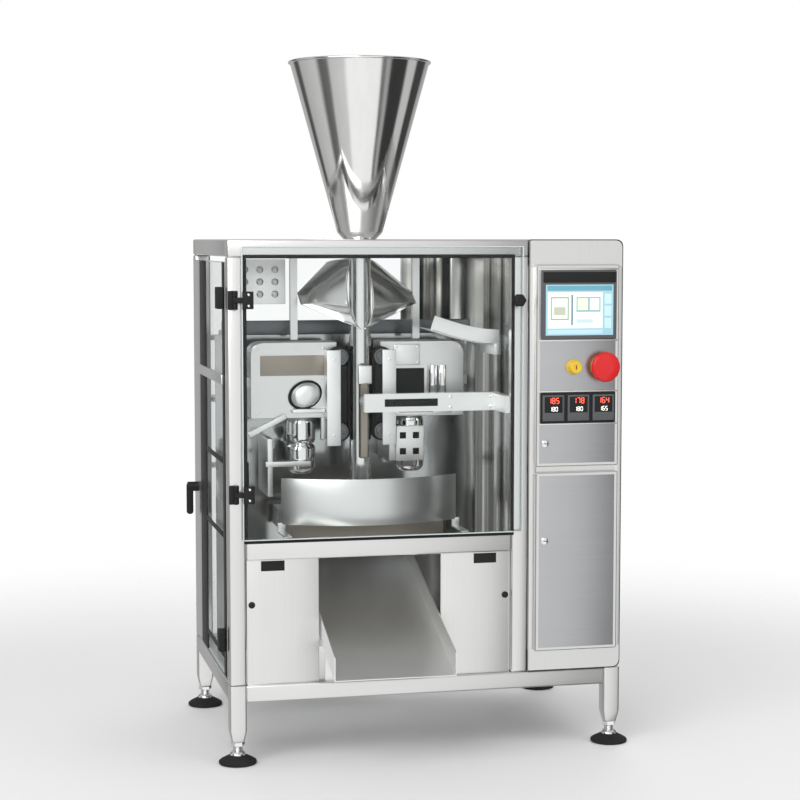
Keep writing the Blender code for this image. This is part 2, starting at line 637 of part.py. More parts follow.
def build_pull_unit(side, sign):
    """One film pull unit: housing on the rail, two pulleys, the belt that grips the tube
    and the motor below."""
    inset = TUBE_RADIUS + PULL_HOUSING_GAP
    near, far = TUBE_X + sign * inset, TUBE_X + sign * (inset + PULL_HOUSING_LENGTH)
    left, right = min(near, far), max(near, far)
    back = PULL_FRONT + PULL_HOUSING_DEPTH
    top = MACHINE_HEIGHT - PULL_HOUSING_TOP_DROP
    bottom = top - PULL_HOUSING_HEIGHT
    housing = block(f"pull_housing_{side}", (left, PULL_FRONT, bottom), (right, back, top), "panel_steel")
    arm_near, arm_far = near + sign * WELD_INSET, near + sign * PULL_ARM_WIDTH
    join(housing, block(f"pull_arm_{side}",
                        (min(arm_near, arm_far), PULL_FRONT + WELD_INSET, bottom - PULL_ARM_LENGTH),
                        (max(arm_near, arm_far), PULL_FRONT + PULL_ARM_THICKNESS, bottom + WELD_OVERLAP),
                        "panel_steel"))
    slot_height = RAIL_HEIGHT / 2 + SLIDE_CLEARANCE
    slot_depth = RAIL_DEPTH / 2 + SLIDE_CLEARANCE
    cut(housing, block(f"rail_slot_{side}",
                       (left - WELD_OVERLAP, RAIL_Y - slot_depth, RAIL_Z - slot_height),
                       (right + WELD_OVERLAP, RAIL_Y + slot_depth, RAIL_Z + slot_height), "panel_steel"))

    pulley_x = TUBE_X + sign * PULLEY_OFFSET
    half = PULLEY_WIDTH / 2
    rim = PULLEY_RADIUS - SEAT_GAP
    shaft_end = TUBE_Y - PULL_FRONT + SEAT_GAP
    profile = [(0.0, half), (rim, half), (rim, -half), (PULLEY_SHAFT_RADIUS, -half),
               (PULLEY_SHAFT_RADIUS, shaft_end), (0.0, shaft_end)]
    lower_z = PULLEY_UPPER_Z - PULLEY_SPAN
    for level, z in (("drive", PULLEY_UPPER_Z), ("idler", lower_z)):
        turned(f"{level}_pulley_{side}", profile, (pulley_x, TUBE_Y, z), "-Y", "machined_aluminium")
    loops = (stadium(PULLEY_RADIUS + BELT_THICKNESS, PULLEY_SPAN), stadium(PULLEY_RADIUS, PULLEY_SPAN))
    outline(f"pull_belt_{side}", loops, BELT_WIDTH, (pulley_x, TUBE_Y, lower_z),
            AXIS_TURNS["-Y"], "black_rubber")

    length = PULL_MOTOR_LENGTH
    waist = PULL_MOTOR_RADIUS - WELD_OVERLAP
    waist_top, waist_bottom = -length / 4, -length / 4 - WELD_OVERLAP
    turned(f"pull_motor_{side}",
           [(0.0, 0.0), (PULL_MOTOR_RADIUS, 0.0), (PULL_MOTOR_RADIUS, waist_top + WELD_INSET),
            (waist, waist_top), (waist, waist_bottom), (PULL_MOTOR_RADIUS, waist_bottom - WELD_INSET),
            (PULL_MOTOR_RADIUS, WELD_OVERLAP - length), (waist, -length), (0.0, -length)],
           (near + sign * PULL_MOTOR_OFFSET, RAIL_Y, bottom - SEAT_GAP), "+Z", "polished_steel")


def build_pull_rail():
    """The rail that both pull units slide on, held off the back plate by a stand-off in the middle."""
    reach = TUBE_RADIUS + PULL_HOUSING_GAP + PULL_HOUSING_LENGTH + PULL_STROKE
    rail = block("pull_rail", (TUBE_X - reach, RAIL_Y - RAIL_DEPTH / 2, RAIL_Z - RAIL_HEIGHT / 2),
                 (TUBE_X + reach, RAIL_Y + RAIL_DEPTH / 2, RAIL_Z + RAIL_HEIGHT / 2), "satin_steel")
    half = RAIL_STANDOFF_WIDTH / 2
    join(rail, block("rail_standoff", (TUBE_X - half, RAIL_Y, RAIL_Z - RAIL_HEIGHT),
                     (TUBE_X + half, BACK_PLATE_Y - SEAT_GAP, RAIL_Z + RAIL_HEIGHT), "satin_steel"))


def build_long_seal():
    """Long seal bar on its rod, and the arm from the right-hand post with the small cylinder
    that presses the bar."""
    back = TUBE_Y - TUBE_RADIUS - LONG_SEAL_FILM_GAP
    front = back - LONG_SEAL_DEPTH
    top = MACHINE_HEIGHT - LONG_SEAL_TOP_DROP
    half = LONG_SEAL_WIDTH / 2
    arm_top = MACHINE_HEIGHT - LONG_SEAL_ARM_DROP
    arm_bottom = arm_top - LONG_SEAL_ARM_HEIGHT
    axis_z = (arm_top + arm_bottom) / 2
    seal = block("long_seal_bar", (TUBE_X - half, front, top - LONG_SEAL_LENGTH),
                 (TUBE_X + half, back, top), "heater_bronze", edge=EDGE_ROUND)
    rod_length = LONG_SEAL_DEPTH / 2 + LONG_SEAL_STROKE + LONG_SEAL_CYLINDER_LENGTH / 2
    join(seal, bar("long_seal_rod", LONG_SEAL_ROD_RADIUS, rod_length,
                   (TUBE_X, front + LONG_SEAL_DEPTH / 2, axis_z), "-Y", "satin_steel"))

    arm_rear = front - LONG_SEAL_STROKE - SEAT_GAP - LONG_SEAL_CYLINDER_LENGTH
    arm_front = arm_rear - LONG_SEAL_ARM_THICKNESS
    arm = block("long_seal_arm", (TUBE_X - LONG_SEAL_CYLINDER_RADIUS, arm_front, arm_bottom),
                (POST_RIGHT - SEAT_GAP, arm_rear, arm_top), "satin_steel")
    bore = LONG_SEAL_ROD_RADIUS + SLIDE_CLEARANCE
    length, root = LONG_SEAL_CYLINDER_LENGTH, -LONG_SEAL_ARM_THICKNESS / 2
    barrel = turned("long_seal_cylinder",
                    [(bore, length), (LONG_SEAL_CYLINDER_RADIUS, length),
                     (LONG_SEAL_CYLINDER_RADIUS, root), (bore, root)],
                    (TUBE_X, arm_rear, axis_z), "+Y", "machined_aluminium", hollow=True)
    foot_low = (POST_RIGHT - LONG_SEAL_ARM_THICKNESS, FRONT + WELD_INSET, arm_bottom + WELD_INSET)
    foot_high = (POST_RIGHT - 2 * SEAT_GAP, arm_rear - WELD_INSET, arm_top - WELD_INSET)
    join(arm, block("long_seal_foot", foot_low, foot_high, "satin_steel"), barrel)


def jaw_bar(name, near, sign):
    """One seal bar: its grooved face lies at near, and its body reaches away from the film.
    The teeth leave a plain band where the knife passes."""
    far = near + sign * JAW_DEPTH
    half = JAW_LENGTH / 2
    bottom = JAW_Z - JAW_HEIGHT / 2
    jaw = block(name, (TUBE_X - half, min(near, far), bottom),
                (TUBE_X + half, max(near, far), bottom + JAW_HEIGHT), "heater_bronze")
    pitch = JAW_HEIGHT / JAW_TOOTH_COUNT
    for tooth in range(JAW_TOOTH_COUNT):
        z = bottom + pitch / 2 + pitch * tooth
        if abs(z - KNIFE_Z) >= pitch:
            cut(jaw, block(f"{name}_groove_{tooth}",
                           (TUBE_X - JAW_LENGTH, near - JAW_TOOTH_DEPTH, z - pitch / 4),
                           (TUBE_X + JAW_LENGTH, near + JAW_TOOTH_DEPTH, z + pitch / 4), "heater_bronze"))
    return jaw


def build_jaws():
    """Front and rear cross seal jaws, the slide that pulls the front jaw, the guide blocks,
    the knife in the rear jaw and the cylinder."""
    front_face, rear_face = TUBE_Y - JAW_OPEN, TUBE_Y + JAW_OPEN
    front = jaw_bar("front_jaw", front_face, -1)
    rear = jaw_bar("rear_jaw", rear_face, 1)
    yoke_front = TUBE_Y + JAW_YOKE_SETBACK
    half = JAW_LENGTH / 2
    yoke = block("jaw_slide", (TUBE_X - half, yoke_front, JAW_Z - JAW_HEIGHT / 2),
                 (TUBE_X + half, yoke_front + JAW_YOKE_THICKNESS, JAW_Z + JAW_HEIGHT / 2), "satin_steel")
    rod_start = front_face + SEAT_GAP
    rod_length = yoke_front + JAW_YOKE_THICKNESS / 2 - rod_start
    rod_bore = JAW_ROD_RADIUS + SLIDE_CLEARANCE
    guide_rear = BACK_PLATE_Y - SEAT_GAP
    guide_front = guide_rear - JAW_BLOCK_DEPTH
    guide_half = JAW_BLOCK_SIDE / 2
    for side, sign in (("left", -1), ("right", 1)):
        x = TUBE_X + sign * JAW_ROD_SPACING / 2
        join(yoke, bar(f"jaw_rod_{side}", JAW_ROD_RADIUS, rod_length, (x, rod_start, JAW_Z), "+Y",
                       "satin_steel"))
        cut(rear, bar(f"rear_jaw_bore_{side}", rod_bore, 3 * JAW_DEPTH, (x, rear_face - JAW_DEPTH, JAW_Z),
                      "+Y", "heater_bronze"))
        guide = block(f"jaw_block_{side}", (x - guide_half, guide_front, JAW_Z - guide_half),
                      (x + guide_half, guide_rear, JAW_Z + guide_half), "machined_aluminium")
        cut(guide, bar(f"jaw_block_bore_{side}", rod_bore, 3 * JAW_BLOCK_DEPTH,
                       (x, guide_front - JAW_BLOCK_DEPTH, JAW_Z), "+Y", "machined_aluminium"))

    slot = KNIFE_THICKNESS / 2 + KNIFE_CLEARANCE
    slot_reach = KNIFE_LENGTH / 2 + KNIFE_CLEARANCE
    cut(rear, block("knife_slot", (TUBE_X - slot_reach, rear_face - JAW_DEPTH, KNIFE_Z - slot),
                    (TUBE_X + slot_reach, rear_face + 2 * JAW_DEPTH, KNIFE_Z + slot), "heater_bronze"))
    cut(front, block("knife_groove", (TUBE_X - slot_reach, front_face - KNIFE_STROKE, KNIFE_Z - slot),
                     (TUBE_X + slot_reach, front_face + JAW_OPEN, KNIFE_Z + slot), "heater_bronze"))
    back_start = rear_face + JAW_DEPTH + KNIFE_STROKE + SEAT_GAP
    blade_half, blade_edge = KNIFE_LENGTH / 2, rear_face + KNIFE_RECESS
    knife = block("knife", (TUBE_X - blade_half, blade_edge, KNIFE_Z - KNIFE_THICKNESS / 2),
                  (TUBE_X + blade_half, back_start + KNIFE_BACK_THICKNESS / 2,
                   KNIFE_Z + KNIFE_THICKNESS / 2), "polished_steel")
    back_half = KNIFE_BACK_LENGTH / 2
    join(knife, block("knife_back", (TUBE_X - back_half, back_start, KNIFE_Z - KNIFE_THICKNESS),
                      (TUBE_X + back_half, back_start + KNIFE_BACK_THICKNESS, KNIFE_Z + KNIFE_BACK_HEIGHT),
                      "polished_steel"))

    push_z = JAW_Z - JAW_PUSH_ROD_DROP
    push_start = rear_face + JAW_DEPTH / 2
    cylinder_front = BACK_PLATE_Y + BACK_PLATE_THICKNESS + SEAT_GAP
    rod_end = cylinder_front + JAW_CYLINDER_LENGTH - 2 * JAW_PUSH_ROD_RADIUS
    join(rear, bar("jaw_push_rod", JAW_PUSH_ROD_RADIUS, rod_end - push_start,
                   (TUBE_X, push_start, push_z), "+Y", "satin_steel"))
    bore = JAW_PUSH_ROD_RADIUS + SLIDE_CLEARANCE
    length = JAW_CYLINDER_LENGTH
    turned("jaw_cylinder",
           [(bore, length), (JAW_CYLINDER_RADIUS, length), (JAW_CYLINDER_RADIUS, 0.0), (bore, 0.0)],
           (TUBE_X, cylinder_front, push_z), "+Y", "machined_aluminium", hollow=True)


def build_chute():
    """Sloping discharge chute of folded sheet, from the back plate out past the front, on two legs."""
    rear, front = BACK_PLATE_Y - SEAT_GAP, FRONT - FRONT_REACH
    rear_z = JAW_Z - JAW_BLOCK_SIDE / 2 - CHUTE_JAW_CLEARANCE - CHUTE_WALL
    front_z = BASE_TOP + CHUTE_LIP_HEIGHT
    slope = (rear_z - front_z) / (rear - front)

    def floor_z(y):
        return front_z + slope * (y - front)

    def side_loop(start, end, low, high):
        return [(end, floor_z(end) + low), (end, floor_z(end) + high),
                (start, floor_z(start) + high), (start, floor_z(start) + low)]

    body = side_loop(front, rear, 0.0, CHUTE_WALL)
    trough = side_loop(front - CHUTE_WALL, rear + CHUTE_WALL, CHUTE_SHEET, 2 * CHUTE_WALL)
    place = (TUBE_X, 0.0, 0.0)
    chute = as_mesh(outline("discharge_chute", [body], CHUTE_WIDTH, place, SIDE_TURN, "polished_steel"))
    cut(chute, as_mesh(outline("chute_trough", [trough], CHUTE_WIDTH - 2 * CHUTE_SHEET, place, SIDE_TURN,
                               "polished_steel")))
    leg_y = FRONT + FRAME_TUBE / 2
    half_thick = CHUTE_LEG_THICKNESS / 2
    for side, sign in (("left", -1), ("right", 1)):
        x = TUBE_X + sign * (CHUTE_WIDTH / 2 - CHUTE_LEG_WIDTH)
        join(chute, block(f"chute_leg_{side}",
                          (x - CHUTE_LEG_WIDTH / 2, leg_y - half_thick, BASE_TOP + SEAT_GAP),
                          (x + CHUTE_LEG_WIDTH / 2, leg_y + half_thick, floor_z(leg_y) + CHUTE_SHEET / 2),
                          "polished_steel"))


def roller_profile(length):
    """A film roller with a shaft end at each side, along its own axis."""
    end = length - ROLLER_SHAFT_LENGTH
    return [(0.0, length), (ROLLER_SHAFT_RADIUS, length), (ROLLER_SHAFT_RADIUS, end), (ROLLER_RADIUS, end),
            (ROLLER_RADIUS, ROLLER_SHAFT_LENGTH), (ROLLER_SHAFT_RADIUS, ROLLER_SHAFT_LENGTH),
            (ROLLER_SHAFT_RADIUS, 0.0), (0.0, 0.0)]


def build_unwind():
    """Film roll on its shaft, which lies in the notches of two arms at the rear."""
    start = REAR + SEAT_GAP
    notch = UNWIND_SHAFT_RADIUS + CORE_CLEARANCE
    lip = ROLL_HEIGHT + UNWIND_ARM_LIP
    end = ROLL_Y + UNWIND_ARM_END
    turns = [math.pi * i / NOTCH_STEPS for i in range(NOTCH_STEPS + 1)]
    bed = [(ROLL_Y - notch * math.cos(a), ROLL_HEIGHT - notch * math.sin(a)) for a in turns]
    arm = [(start, BASE_BOTTOM), (start, ROLL_HEIGHT), (ROLL_Y - UNWIND_ARM_END, lip),
           (ROLL_Y - notch, lip), *bed, (ROLL_Y + notch, lip), (end, lip),
           (end, ROLL_HEIGHT - UNWIND_ARM_END)]
    for side, sign in (("left", -1), ("right", 1)):
        outline(f"unwind_arm_{side}", [arm], UNWIND_ARM_THICKNESS,
                (TUBE_X + sign * UNWIND_ARM_SPACING / 2, 0.0, 0.0), SIDE_TURN, "satin_steel")

    length = UNWIND_ARM_SPACING + 2 * UNWIND_SHAFT_END
    low, high = (length - ROLL_WIDTH) / 2 - CORE_CLEARANCE, (length + ROLL_WIDTH) / 2 + CORE_CLEARANCE
    low_flange, high_flange = low - UNWIND_FLANGE_THICKNESS, high + UNWIND_FLANGE_THICKNESS
    cone = ROLL_CORE_RADIUS - CORE_CLEARANCE
    flange = UNWIND_FLANGE_RADIUS
    turned("unwind_shaft",
           [(0.0, length), (UNWIND_SHAFT_RADIUS, length), (UNWIND_SHAFT_RADIUS, high_flange),
            (flange, high_flange), (flange, high), (cone, high), (cone, low), (flange, low),
            (flange, low_flange), (UNWIND_SHAFT_RADIUS, low_flange), (UNWIND_SHAFT_RADIUS, 0.0),
            (0.0, 0.0)],
           (TUBE_X - length / 2, ROLL_Y, ROLL_HEIGHT), "+X", "satin_steel")
    turned("film_roll", [(ROLL_CORE_RADIUS, ROLL_WIDTH), (ROLL_RADIUS, ROLL_WIDTH), (ROLL_RADIUS, 0.0),
                         (ROLL_CORE_RADIUS, 0.0)],
           (TUBE_X - ROLL_WIDTH / 2, ROLL_Y, ROLL_HEIGHT), "+X", "wound_film", steps=ROLL_STEPS,
           hollow=True)


def build_film_rollers():
    """The two fixed film rollers between the rear posts, and the dancer with its own roller."""
    bay = POST_RIGHT - BAY_LEFT - 2 * SEAT_GAP
    bay_start = BAY_LEFT + SEAT_GAP
    for level, drop in (("lower", ROLLER_LOWER_DROP), ("upper", ROLLER_UPPER_DROP)):
        turned(f"film_roller_{level}", roller_profile(bay), (bay_start, ROLLER_Y, MACHINE_HEIGHT - drop),
               "+X", "machined_aluminium")

    pivot_z = MACHINE_HEIGHT - DANCER_PIVOT_DROP
    dancer = bar("dancer_arms", DANCER_BAR_RADIUS, bay, (bay_start, ROLLER_Y, pivot_z), "+X", "satin_steel")
    half = DANCER_ARM_HEIGHT / 2
    along = Vector((DANCER_REACH, -DANCER_FALL)).normalized()
    square = Vector((-along.y, along.x))
    turns = [math.pi * i / ARM_ARC_STEPS for i in range(ARM_ARC_STEPS + 1)]
    tip = Vector((DANCER_REACH, -DANCER_FALL))
    loop = [tip + half * (math.sin(a) * along - math.cos(a) * square) for a in turns]
    loop += [half * (math.cos(a) * square - math.sin(a) * along) for a in turns]
    for side, sign in (("left", -1), ("right", 1)):
        x = TUBE_X + sign * DANCER_ARM_SPACING / 2
        join(dancer, as_mesh(outline(f"dancer_plate_{side}", [loop], DANCER_ARM_THICKNESS,
                                     (x, ROLLER_Y, pivot_z), SIDE_TURN, "satin_steel")))
    inside = DANCER_ARM_SPACING - DANCER_ARM_THICKNESS - 2 * SEAT_GAP
    turned("dancer_roller", roller_profile(inside),
           (TUBE_X - inside / 2, ROLLER_Y + DANCER_REACH, pivot_z - DANCER_FALL), "+X",
           "machined_aluminium")


def build_front_door():
    """Clear front door with two ears that turn on the hinge pins, the hinges on the post and the knob."""
    back = FRONT - DOOR_STANDOFF
    front = back - DOOR_SHEET
    pin_x, pin_y = LEFT + HINGE_PIN_INSET, (front + back) / 2
    left, right = LEFT + DOOR_HINGE_MARGIN, POST_RIGHT + DOOR_LAP
    bottom = MACHINE_HEIGHT - FRONT_RAIL_TOP_DROP + DOOR_RAIL_GAP
    door = block("front_door", (left, front, bottom), (right, back, MACHINE_HEIGHT - DOOR_TOP_DROP),
                 "clear_sheet", pivot=(pin_x, pin_y, bottom))
    third = HINGE_HEIGHT / 3
    ear = third - 2 * SEAT_GAP
    leaf_back = FRONT - SEAT_GAP
    for level, drop in (("upper", HINGE_UPPER_DROP), ("lower", HINGE_LOWER_DROP)):
        z = MACHINE_HEIGHT - drop
        join(door, block(f"door_ear_{level}", (pin_x, front + SEAT_GAP, z - ear / 2),
                         (left + DOOR_EAR_LENGTH, back - SEAT_GAP, z + ear / 2), "clear_sheet"),
             bar(f"door_knuckle_{level}", HINGE_PIN_RADIUS, ear, (pin_x, pin_y, z - ear / 2), "+Z",
                 "clear_sheet"))
        hinge = block(f"door_hinge_{level}",
                      (LEFT + SEAT_GAP, leaf_back - HINGE_LEAF_THICKNESS, z - HINGE_HEIGHT / 2),
                      (LEFT + HINGE_LEAF_WIDTH, leaf_back, z + HINGE_HEIGHT / 2), "black_plastic")
        for end, low in (("top", z + third / 2), ("bottom", z - HINGE_HEIGHT / 2)):
            join(hinge, block(f"hinge_knuckle_{level}_{end}",
                              (pin_x - HINGE_PIN_RADIUS, pin_y - HINGE_PIN_RADIUS, low + SEAT_GAP / 2),
                              (pin_x + HINGE_PIN_RADIUS, leaf_back - SEAT_GAP, low + third - SEAT_GAP / 2),
                              "black_plastic"))
    neck = DOOR_KNOB_LENGTH - DOOR_KNOB_GRIP
    knob = [(0.0, DOOR_KNOB_LENGTH), (DOOR_KNOB_RADIUS - EDGE_ROUND, DOOR_KNOB_LENGTH),
            (DOOR_KNOB_RADIUS, DOOR_KNOB_LENGTH - EDGE_ROUND), (DOOR_KNOB_RADIUS, neck + EDGE_ROUND),
            (DOOR_KNOB_NECK, neck), (DOOR_KNOB_NECK, 0.0), (0.0, 0.0)]
    turned("front_door_knob", knob,
           (right - DOOR_KNOB_RADIUS, front - SEAT_GAP, MACHINE_HEIGHT - DOOR_KNOB_DROP), "-Y",
           "black_plastic")


def build_side_door():
    """Left side door hinged at the front post, with a lever handle near the rear post."""
    front, rear = FRONT + FRAME_TUBE + SEAT_GAP, REAR - FRAME_TUBE - SIDE_DOOR_GAP
    bottom = BASE_TOP + SIDE_DOOR_BOTTOM_GAP
    block("side_door", (LEFT, front, bottom),
          (LEFT + SIDE_DOOR_SHEET, rear, TOP_UNDERSIDE - SIDE_DOOR_TOP_GAP), "clear_sheet",
          pivot=(LEFT, front, bottom))
    y, z = rear - SIDE_HANDLE_INSET, MACHINE_HEIGHT - SIDE_HANDLE_DROP
    handle = bar("side_door_handle", SIDE_HANDLE_RADIUS, SIDE_REACH - SEAT_GAP,
                 (LEFT - SEAT_GAP, y, z), "-X", "black_plastic")
    half = SIDE_HANDLE_GRIP / 2
    grip_left = LEFT - SIDE_REACH + SEAT_GAP
    join(handle, block("side_handle_grip", (grip_left, y - half, z - SIDE_HANDLE_LENGTH),
                       (grip_left + SIDE_HANDLE_GRIP, y + half, z), "black_plastic", edge=EDGE_ROUND))


def build_cabinet():
    """Electrical cabinet shell, open behind its control door and its lower door."""
    low = (CABINET_LEFT + SEAT_GAP, FRONT, BASE_TOP + SEAT_GAP)
    high = (RIGHT, REAR, MACHINE_HEIGHT)
    shell = block("cabinet", low, high, "satin_steel", edge=EDGE_ROUND)
    wall = CABINET_WALL
    cut(shell, block("cabinet_inside", [a + wall for a in low], [b - wall for b in high], "satin_steel"))
    left, right = low[0] + CABINET_FLANGE, high[0] - CABINET_FLANGE
    back, front = FRONT - SEAT_GAP, FRONT - SEAT_GAP - DOOR_PANEL_THICKNESS
    control_top = MACHINE_HEIGHT - CABINET_HEAD
    control_bottom = control_top - CONTROL_DOOR_HEIGHT
    lower_bottom, lower_top = BASE_TOP + CABINET_SILL, control_bottom - CABINET_FLANGE
    doors = {}
    for title, bottom, top in (("control_door", control_bottom, control_top),
                               ("cabinet_lower_door", lower_bottom, lower_top)):
        cut(shell, block(f"{title}_aperture", (left + CABINET_LIP, FRONT - wall, bottom + CABINET_LIP),
                         (right - CABINET_LIP, FRONT + 2 * wall, top - CABINET_LIP), "satin_steel"))
        doors[title] = block(title, (left, front, bottom), (right, back, top), "panel_steel",
                             pivot=(right, front, bottom), edge=EDGE_ROUND)
    build_controls(doors["control_door"], front, (left + right) / 2)
    switch = [(0.0, SIDE_REACH), (MAIN_SWITCH_CROWN, SIDE_REACH),
              (MAIN_SWITCH_RADIUS, MAIN_SWITCH_SHOULDER), (MAIN_SWITCH_RADIUS, SEAT_GAP), (0.0, SEAT_GAP)]
    turned("main_switch", switch, (RIGHT, (FRONT + REAR) / 2, MACHINE_HEIGHT - MAIN_SWITCH_DROP), "+X",
           "red_plastic", steps=KNOB_STEPS)


def build_controls(door, door_front, middle):
    """Touch screen, heat controllers, emergency stop and key switch on the control door."""
    face = door_front - SEAT_GAP
    half = SCREEN_WIDTH / 2
    for name, drop, height, depth, finish in (
            ("touch_screen", SCREEN_DROP, SCREEN_HEIGHT, SCREEN_DEPTH, "screen_glass"),
            ("heat_controllers", HEAT_PANEL_DROP, HEAT_PANEL_HEIGHT, HEAT_PANEL_DEPTH, "black_plastic")):
        z = MACHINE_HEIGHT - drop
        block(name, (middle - half, face - depth, z - height / 2), (middle + half, face, z + height / 2),
              finish, edge=EDGE_ROUND)

    z = MACHINE_HEIGHT - ESTOP_DROP
    stem, cap = ESTOP_STEM_LENGTH, ESTOP_STEM_LENGTH + ESTOP_CAP_LENGTH
    boss_height = stem - ESTOP_TRAVEL - SEAT_GAP
    bore = ESTOP_STEM_RADIUS + SLIDE_CLEARANCE
    root = -DOOR_PANEL_THICKNESS / 2
    place = (middle + ESTOP_SIDE, face, z)
    boss = [(bore, boss_height), (ESTOP_BOSS_RADIUS, boss_height), (ESTOP_BOSS_RADIUS, root), (bore, root)]
    join(door, turned("estop_boss", boss, place, "-Y", "yellow_plastic", hollow=True))
    stem_end = ESTOP_TRAVEL + SEAT_GAP
    turned("estop_button",
           [(0.0, cap), (ESTOP_CROWN_RADIUS, cap), (ESTOP_RADIUS, (cap + stem) / 2), (ESTOP_RADIUS, stem),
            (ESTOP_STEM_RADIUS, stem), (ESTOP_STEM_RADIUS, stem_end), (0.0, stem_end)],
           place, "-Y", "red_plastic")
    turned("key_switch",
           [(0.0, KEY_SWITCH_LENGTH), (KEY_SWITCH_BARREL, KEY_SWITCH_LENGTH),
            (KEY_SWITCH_BARREL, KEY_SWITCH_COLLAR), (KEY_SWITCH_RADIUS, KEY_SWITCH_COLLAR),
            (KEY_SWITCH_RADIUS, 0.0), (0.0, 0.0)],
           (middle - KEY_SWITCH_SIDE, face, z), "-Y", "yellow_plastic", steps=SMALL_ROUND_STEPS)


build_frame()
build_back_plate()
build_forming_set()
build_pull_rail()
for pull_side, pull_sign in (("left", -1), ("right", 1)):
    build_pull_unit(pull_side, pull_sign)
build_long_seal()
build_jaws()
build_chute()
build_unwind()
build_film_rollers()
build_front_door()
build_side_door()
build_cabinet()
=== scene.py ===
# %% [markdown]
# # Dressing a vertical form fill sealer
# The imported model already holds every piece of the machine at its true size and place. This lesson gives
# it the surfaces that a visitor to the packing hall would see: brushed tube, polished forming parts,
# clear doors, ribbed belts and lit controls. Each step says what a piece is on the real machine, how it
# could be made, and why this way was taken.

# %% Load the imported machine
import json
import math

import bmesh
import bpy
import numpy as np
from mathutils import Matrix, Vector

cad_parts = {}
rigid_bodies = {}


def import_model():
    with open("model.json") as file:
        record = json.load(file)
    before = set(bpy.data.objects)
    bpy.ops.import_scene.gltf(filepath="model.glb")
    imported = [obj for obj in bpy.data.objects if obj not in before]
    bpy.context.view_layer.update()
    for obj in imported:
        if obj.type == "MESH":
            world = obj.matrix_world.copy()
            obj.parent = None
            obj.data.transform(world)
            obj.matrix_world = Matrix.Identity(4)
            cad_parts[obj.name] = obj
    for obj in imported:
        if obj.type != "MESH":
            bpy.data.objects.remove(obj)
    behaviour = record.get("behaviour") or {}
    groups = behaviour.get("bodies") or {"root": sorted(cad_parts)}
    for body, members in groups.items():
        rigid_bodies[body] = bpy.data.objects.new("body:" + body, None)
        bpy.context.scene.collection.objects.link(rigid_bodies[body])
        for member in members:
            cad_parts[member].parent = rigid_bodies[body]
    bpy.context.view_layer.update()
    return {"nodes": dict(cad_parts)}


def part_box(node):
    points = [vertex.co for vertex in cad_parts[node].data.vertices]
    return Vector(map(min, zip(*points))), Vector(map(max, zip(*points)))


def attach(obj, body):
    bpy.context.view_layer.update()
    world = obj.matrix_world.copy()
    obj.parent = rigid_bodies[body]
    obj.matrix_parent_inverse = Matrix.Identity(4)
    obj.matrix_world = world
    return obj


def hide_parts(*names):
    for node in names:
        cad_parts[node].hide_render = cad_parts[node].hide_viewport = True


for leftover in list(bpy.data.objects):
    bpy.data.objects.remove(leftover)
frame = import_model()
nodes = frame["nodes"]

# %% [markdown]
# ## Surfaces as arrays
# Most sheet metal and turned parts are either a loop carried along a line or a profile spun round an
# axis. Both are a grid of points, so one function turns any grid into faces. Whole arrays are worked out
# at once, which keeps a finely divided funnel as quick as a coarse one.

# %% A form: points, quads and end caps


class Form:
    """Points (n, 3), four-sided faces (m, 4) and a few many-sided caps, before they become a mesh."""

    def __init__(self, points, quads, caps=()):
        self.points = np.asarray(points, float).reshape(-1, 3)
        self.quads = np.asarray(quads, int).reshape(-1, 4)
        self.caps = [np.asarray(cap, int) for cap in caps]

    def __add__(self, other):
        shift = len(self.points)
        return Form(np.vstack([self.points, other.points]), np.vstack([self.quads, other.quads + shift]),
                    self.caps + [cap + shift for cap in other.caps])

    def moved(self, offset):
        return Form(self.points + np.asarray(offset, float), self.quads, self.caps)

    def mapped(self, change):
        """The same faces on points that a function of the point array has changed."""
        return Form(change(self.points), self.quads, self.caps)

    def repeated(self, offsets):
        """One copy at each offset, by adding every offset to every point in a single broadcast."""
        offsets = np.asarray(offsets, float).reshape(-1, 3)
        count = len(self.points)
        shifts = np.arange(len(offsets)) * count
        return Form((offsets[:, None] + self.points[None]).reshape(-1, 3),
                    (shifts[:, None, None] + self.quads[None]).reshape(-1, 4),
                    [cap + shift for shift in shifts for cap in self.caps])


def joined(forms):
    """All the forms as one, with their faces renumbered."""
    total = forms[0]
    for form in forms[1:]:
        total = total + form
    return total


def grid_form(points, around=True, along=False, caps=True):
    """Faces over a grid of points (rows, columns, 3). Columns close on themselves if around is set, rows
    if along is set, and otherwise the first and last row can be capped."""
    rows, columns = points.shape[:2]
    index = np.arange(rows * columns).reshape(rows, columns)
    index = np.concatenate([index, index[:1]]) if along else index
    index = np.concatenate([index, index[:, :1]], 1) if around else index
    quads = np.stack([index[:-1, :-1], index[:-1, 1:], index[1:, 1:], index[1:, :-1]], -1)
    ends = [index[0, :-1][::-1], index[-1, :-1]] if caps and around and not along else []
    return Form(points, quads, ends)


AIMS = {
    "Z": np.array([[1, 0, 0], [0, 1, 0], [0, 0, 1]]),
    "-Z": np.array([[1, 0, 0], [0, -1, 0], [0, 0, -1]]),
    "X": np.array([[0, 1, 0], [0, 0, 1], [1, 0, 0]]),
    "-X": np.array([[0, -1, 0], [0, 0, 1], [-1, 0, 0]]),
    "Y": np.array([[1, 0, 0], [0, 0, -1], [0, 1, 0]]),
    "-Y": np.array([[1, 0, 0], [0, 0, 1], [0, -1, 0]]),
}


def aimed(form, axis, place=(0, 0, 0)):
    """Turns a form that was made along +Z to another axis, and moves it to its place."""
    return form.mapped(lambda points: points @ AIMS[axis]).moved(place)


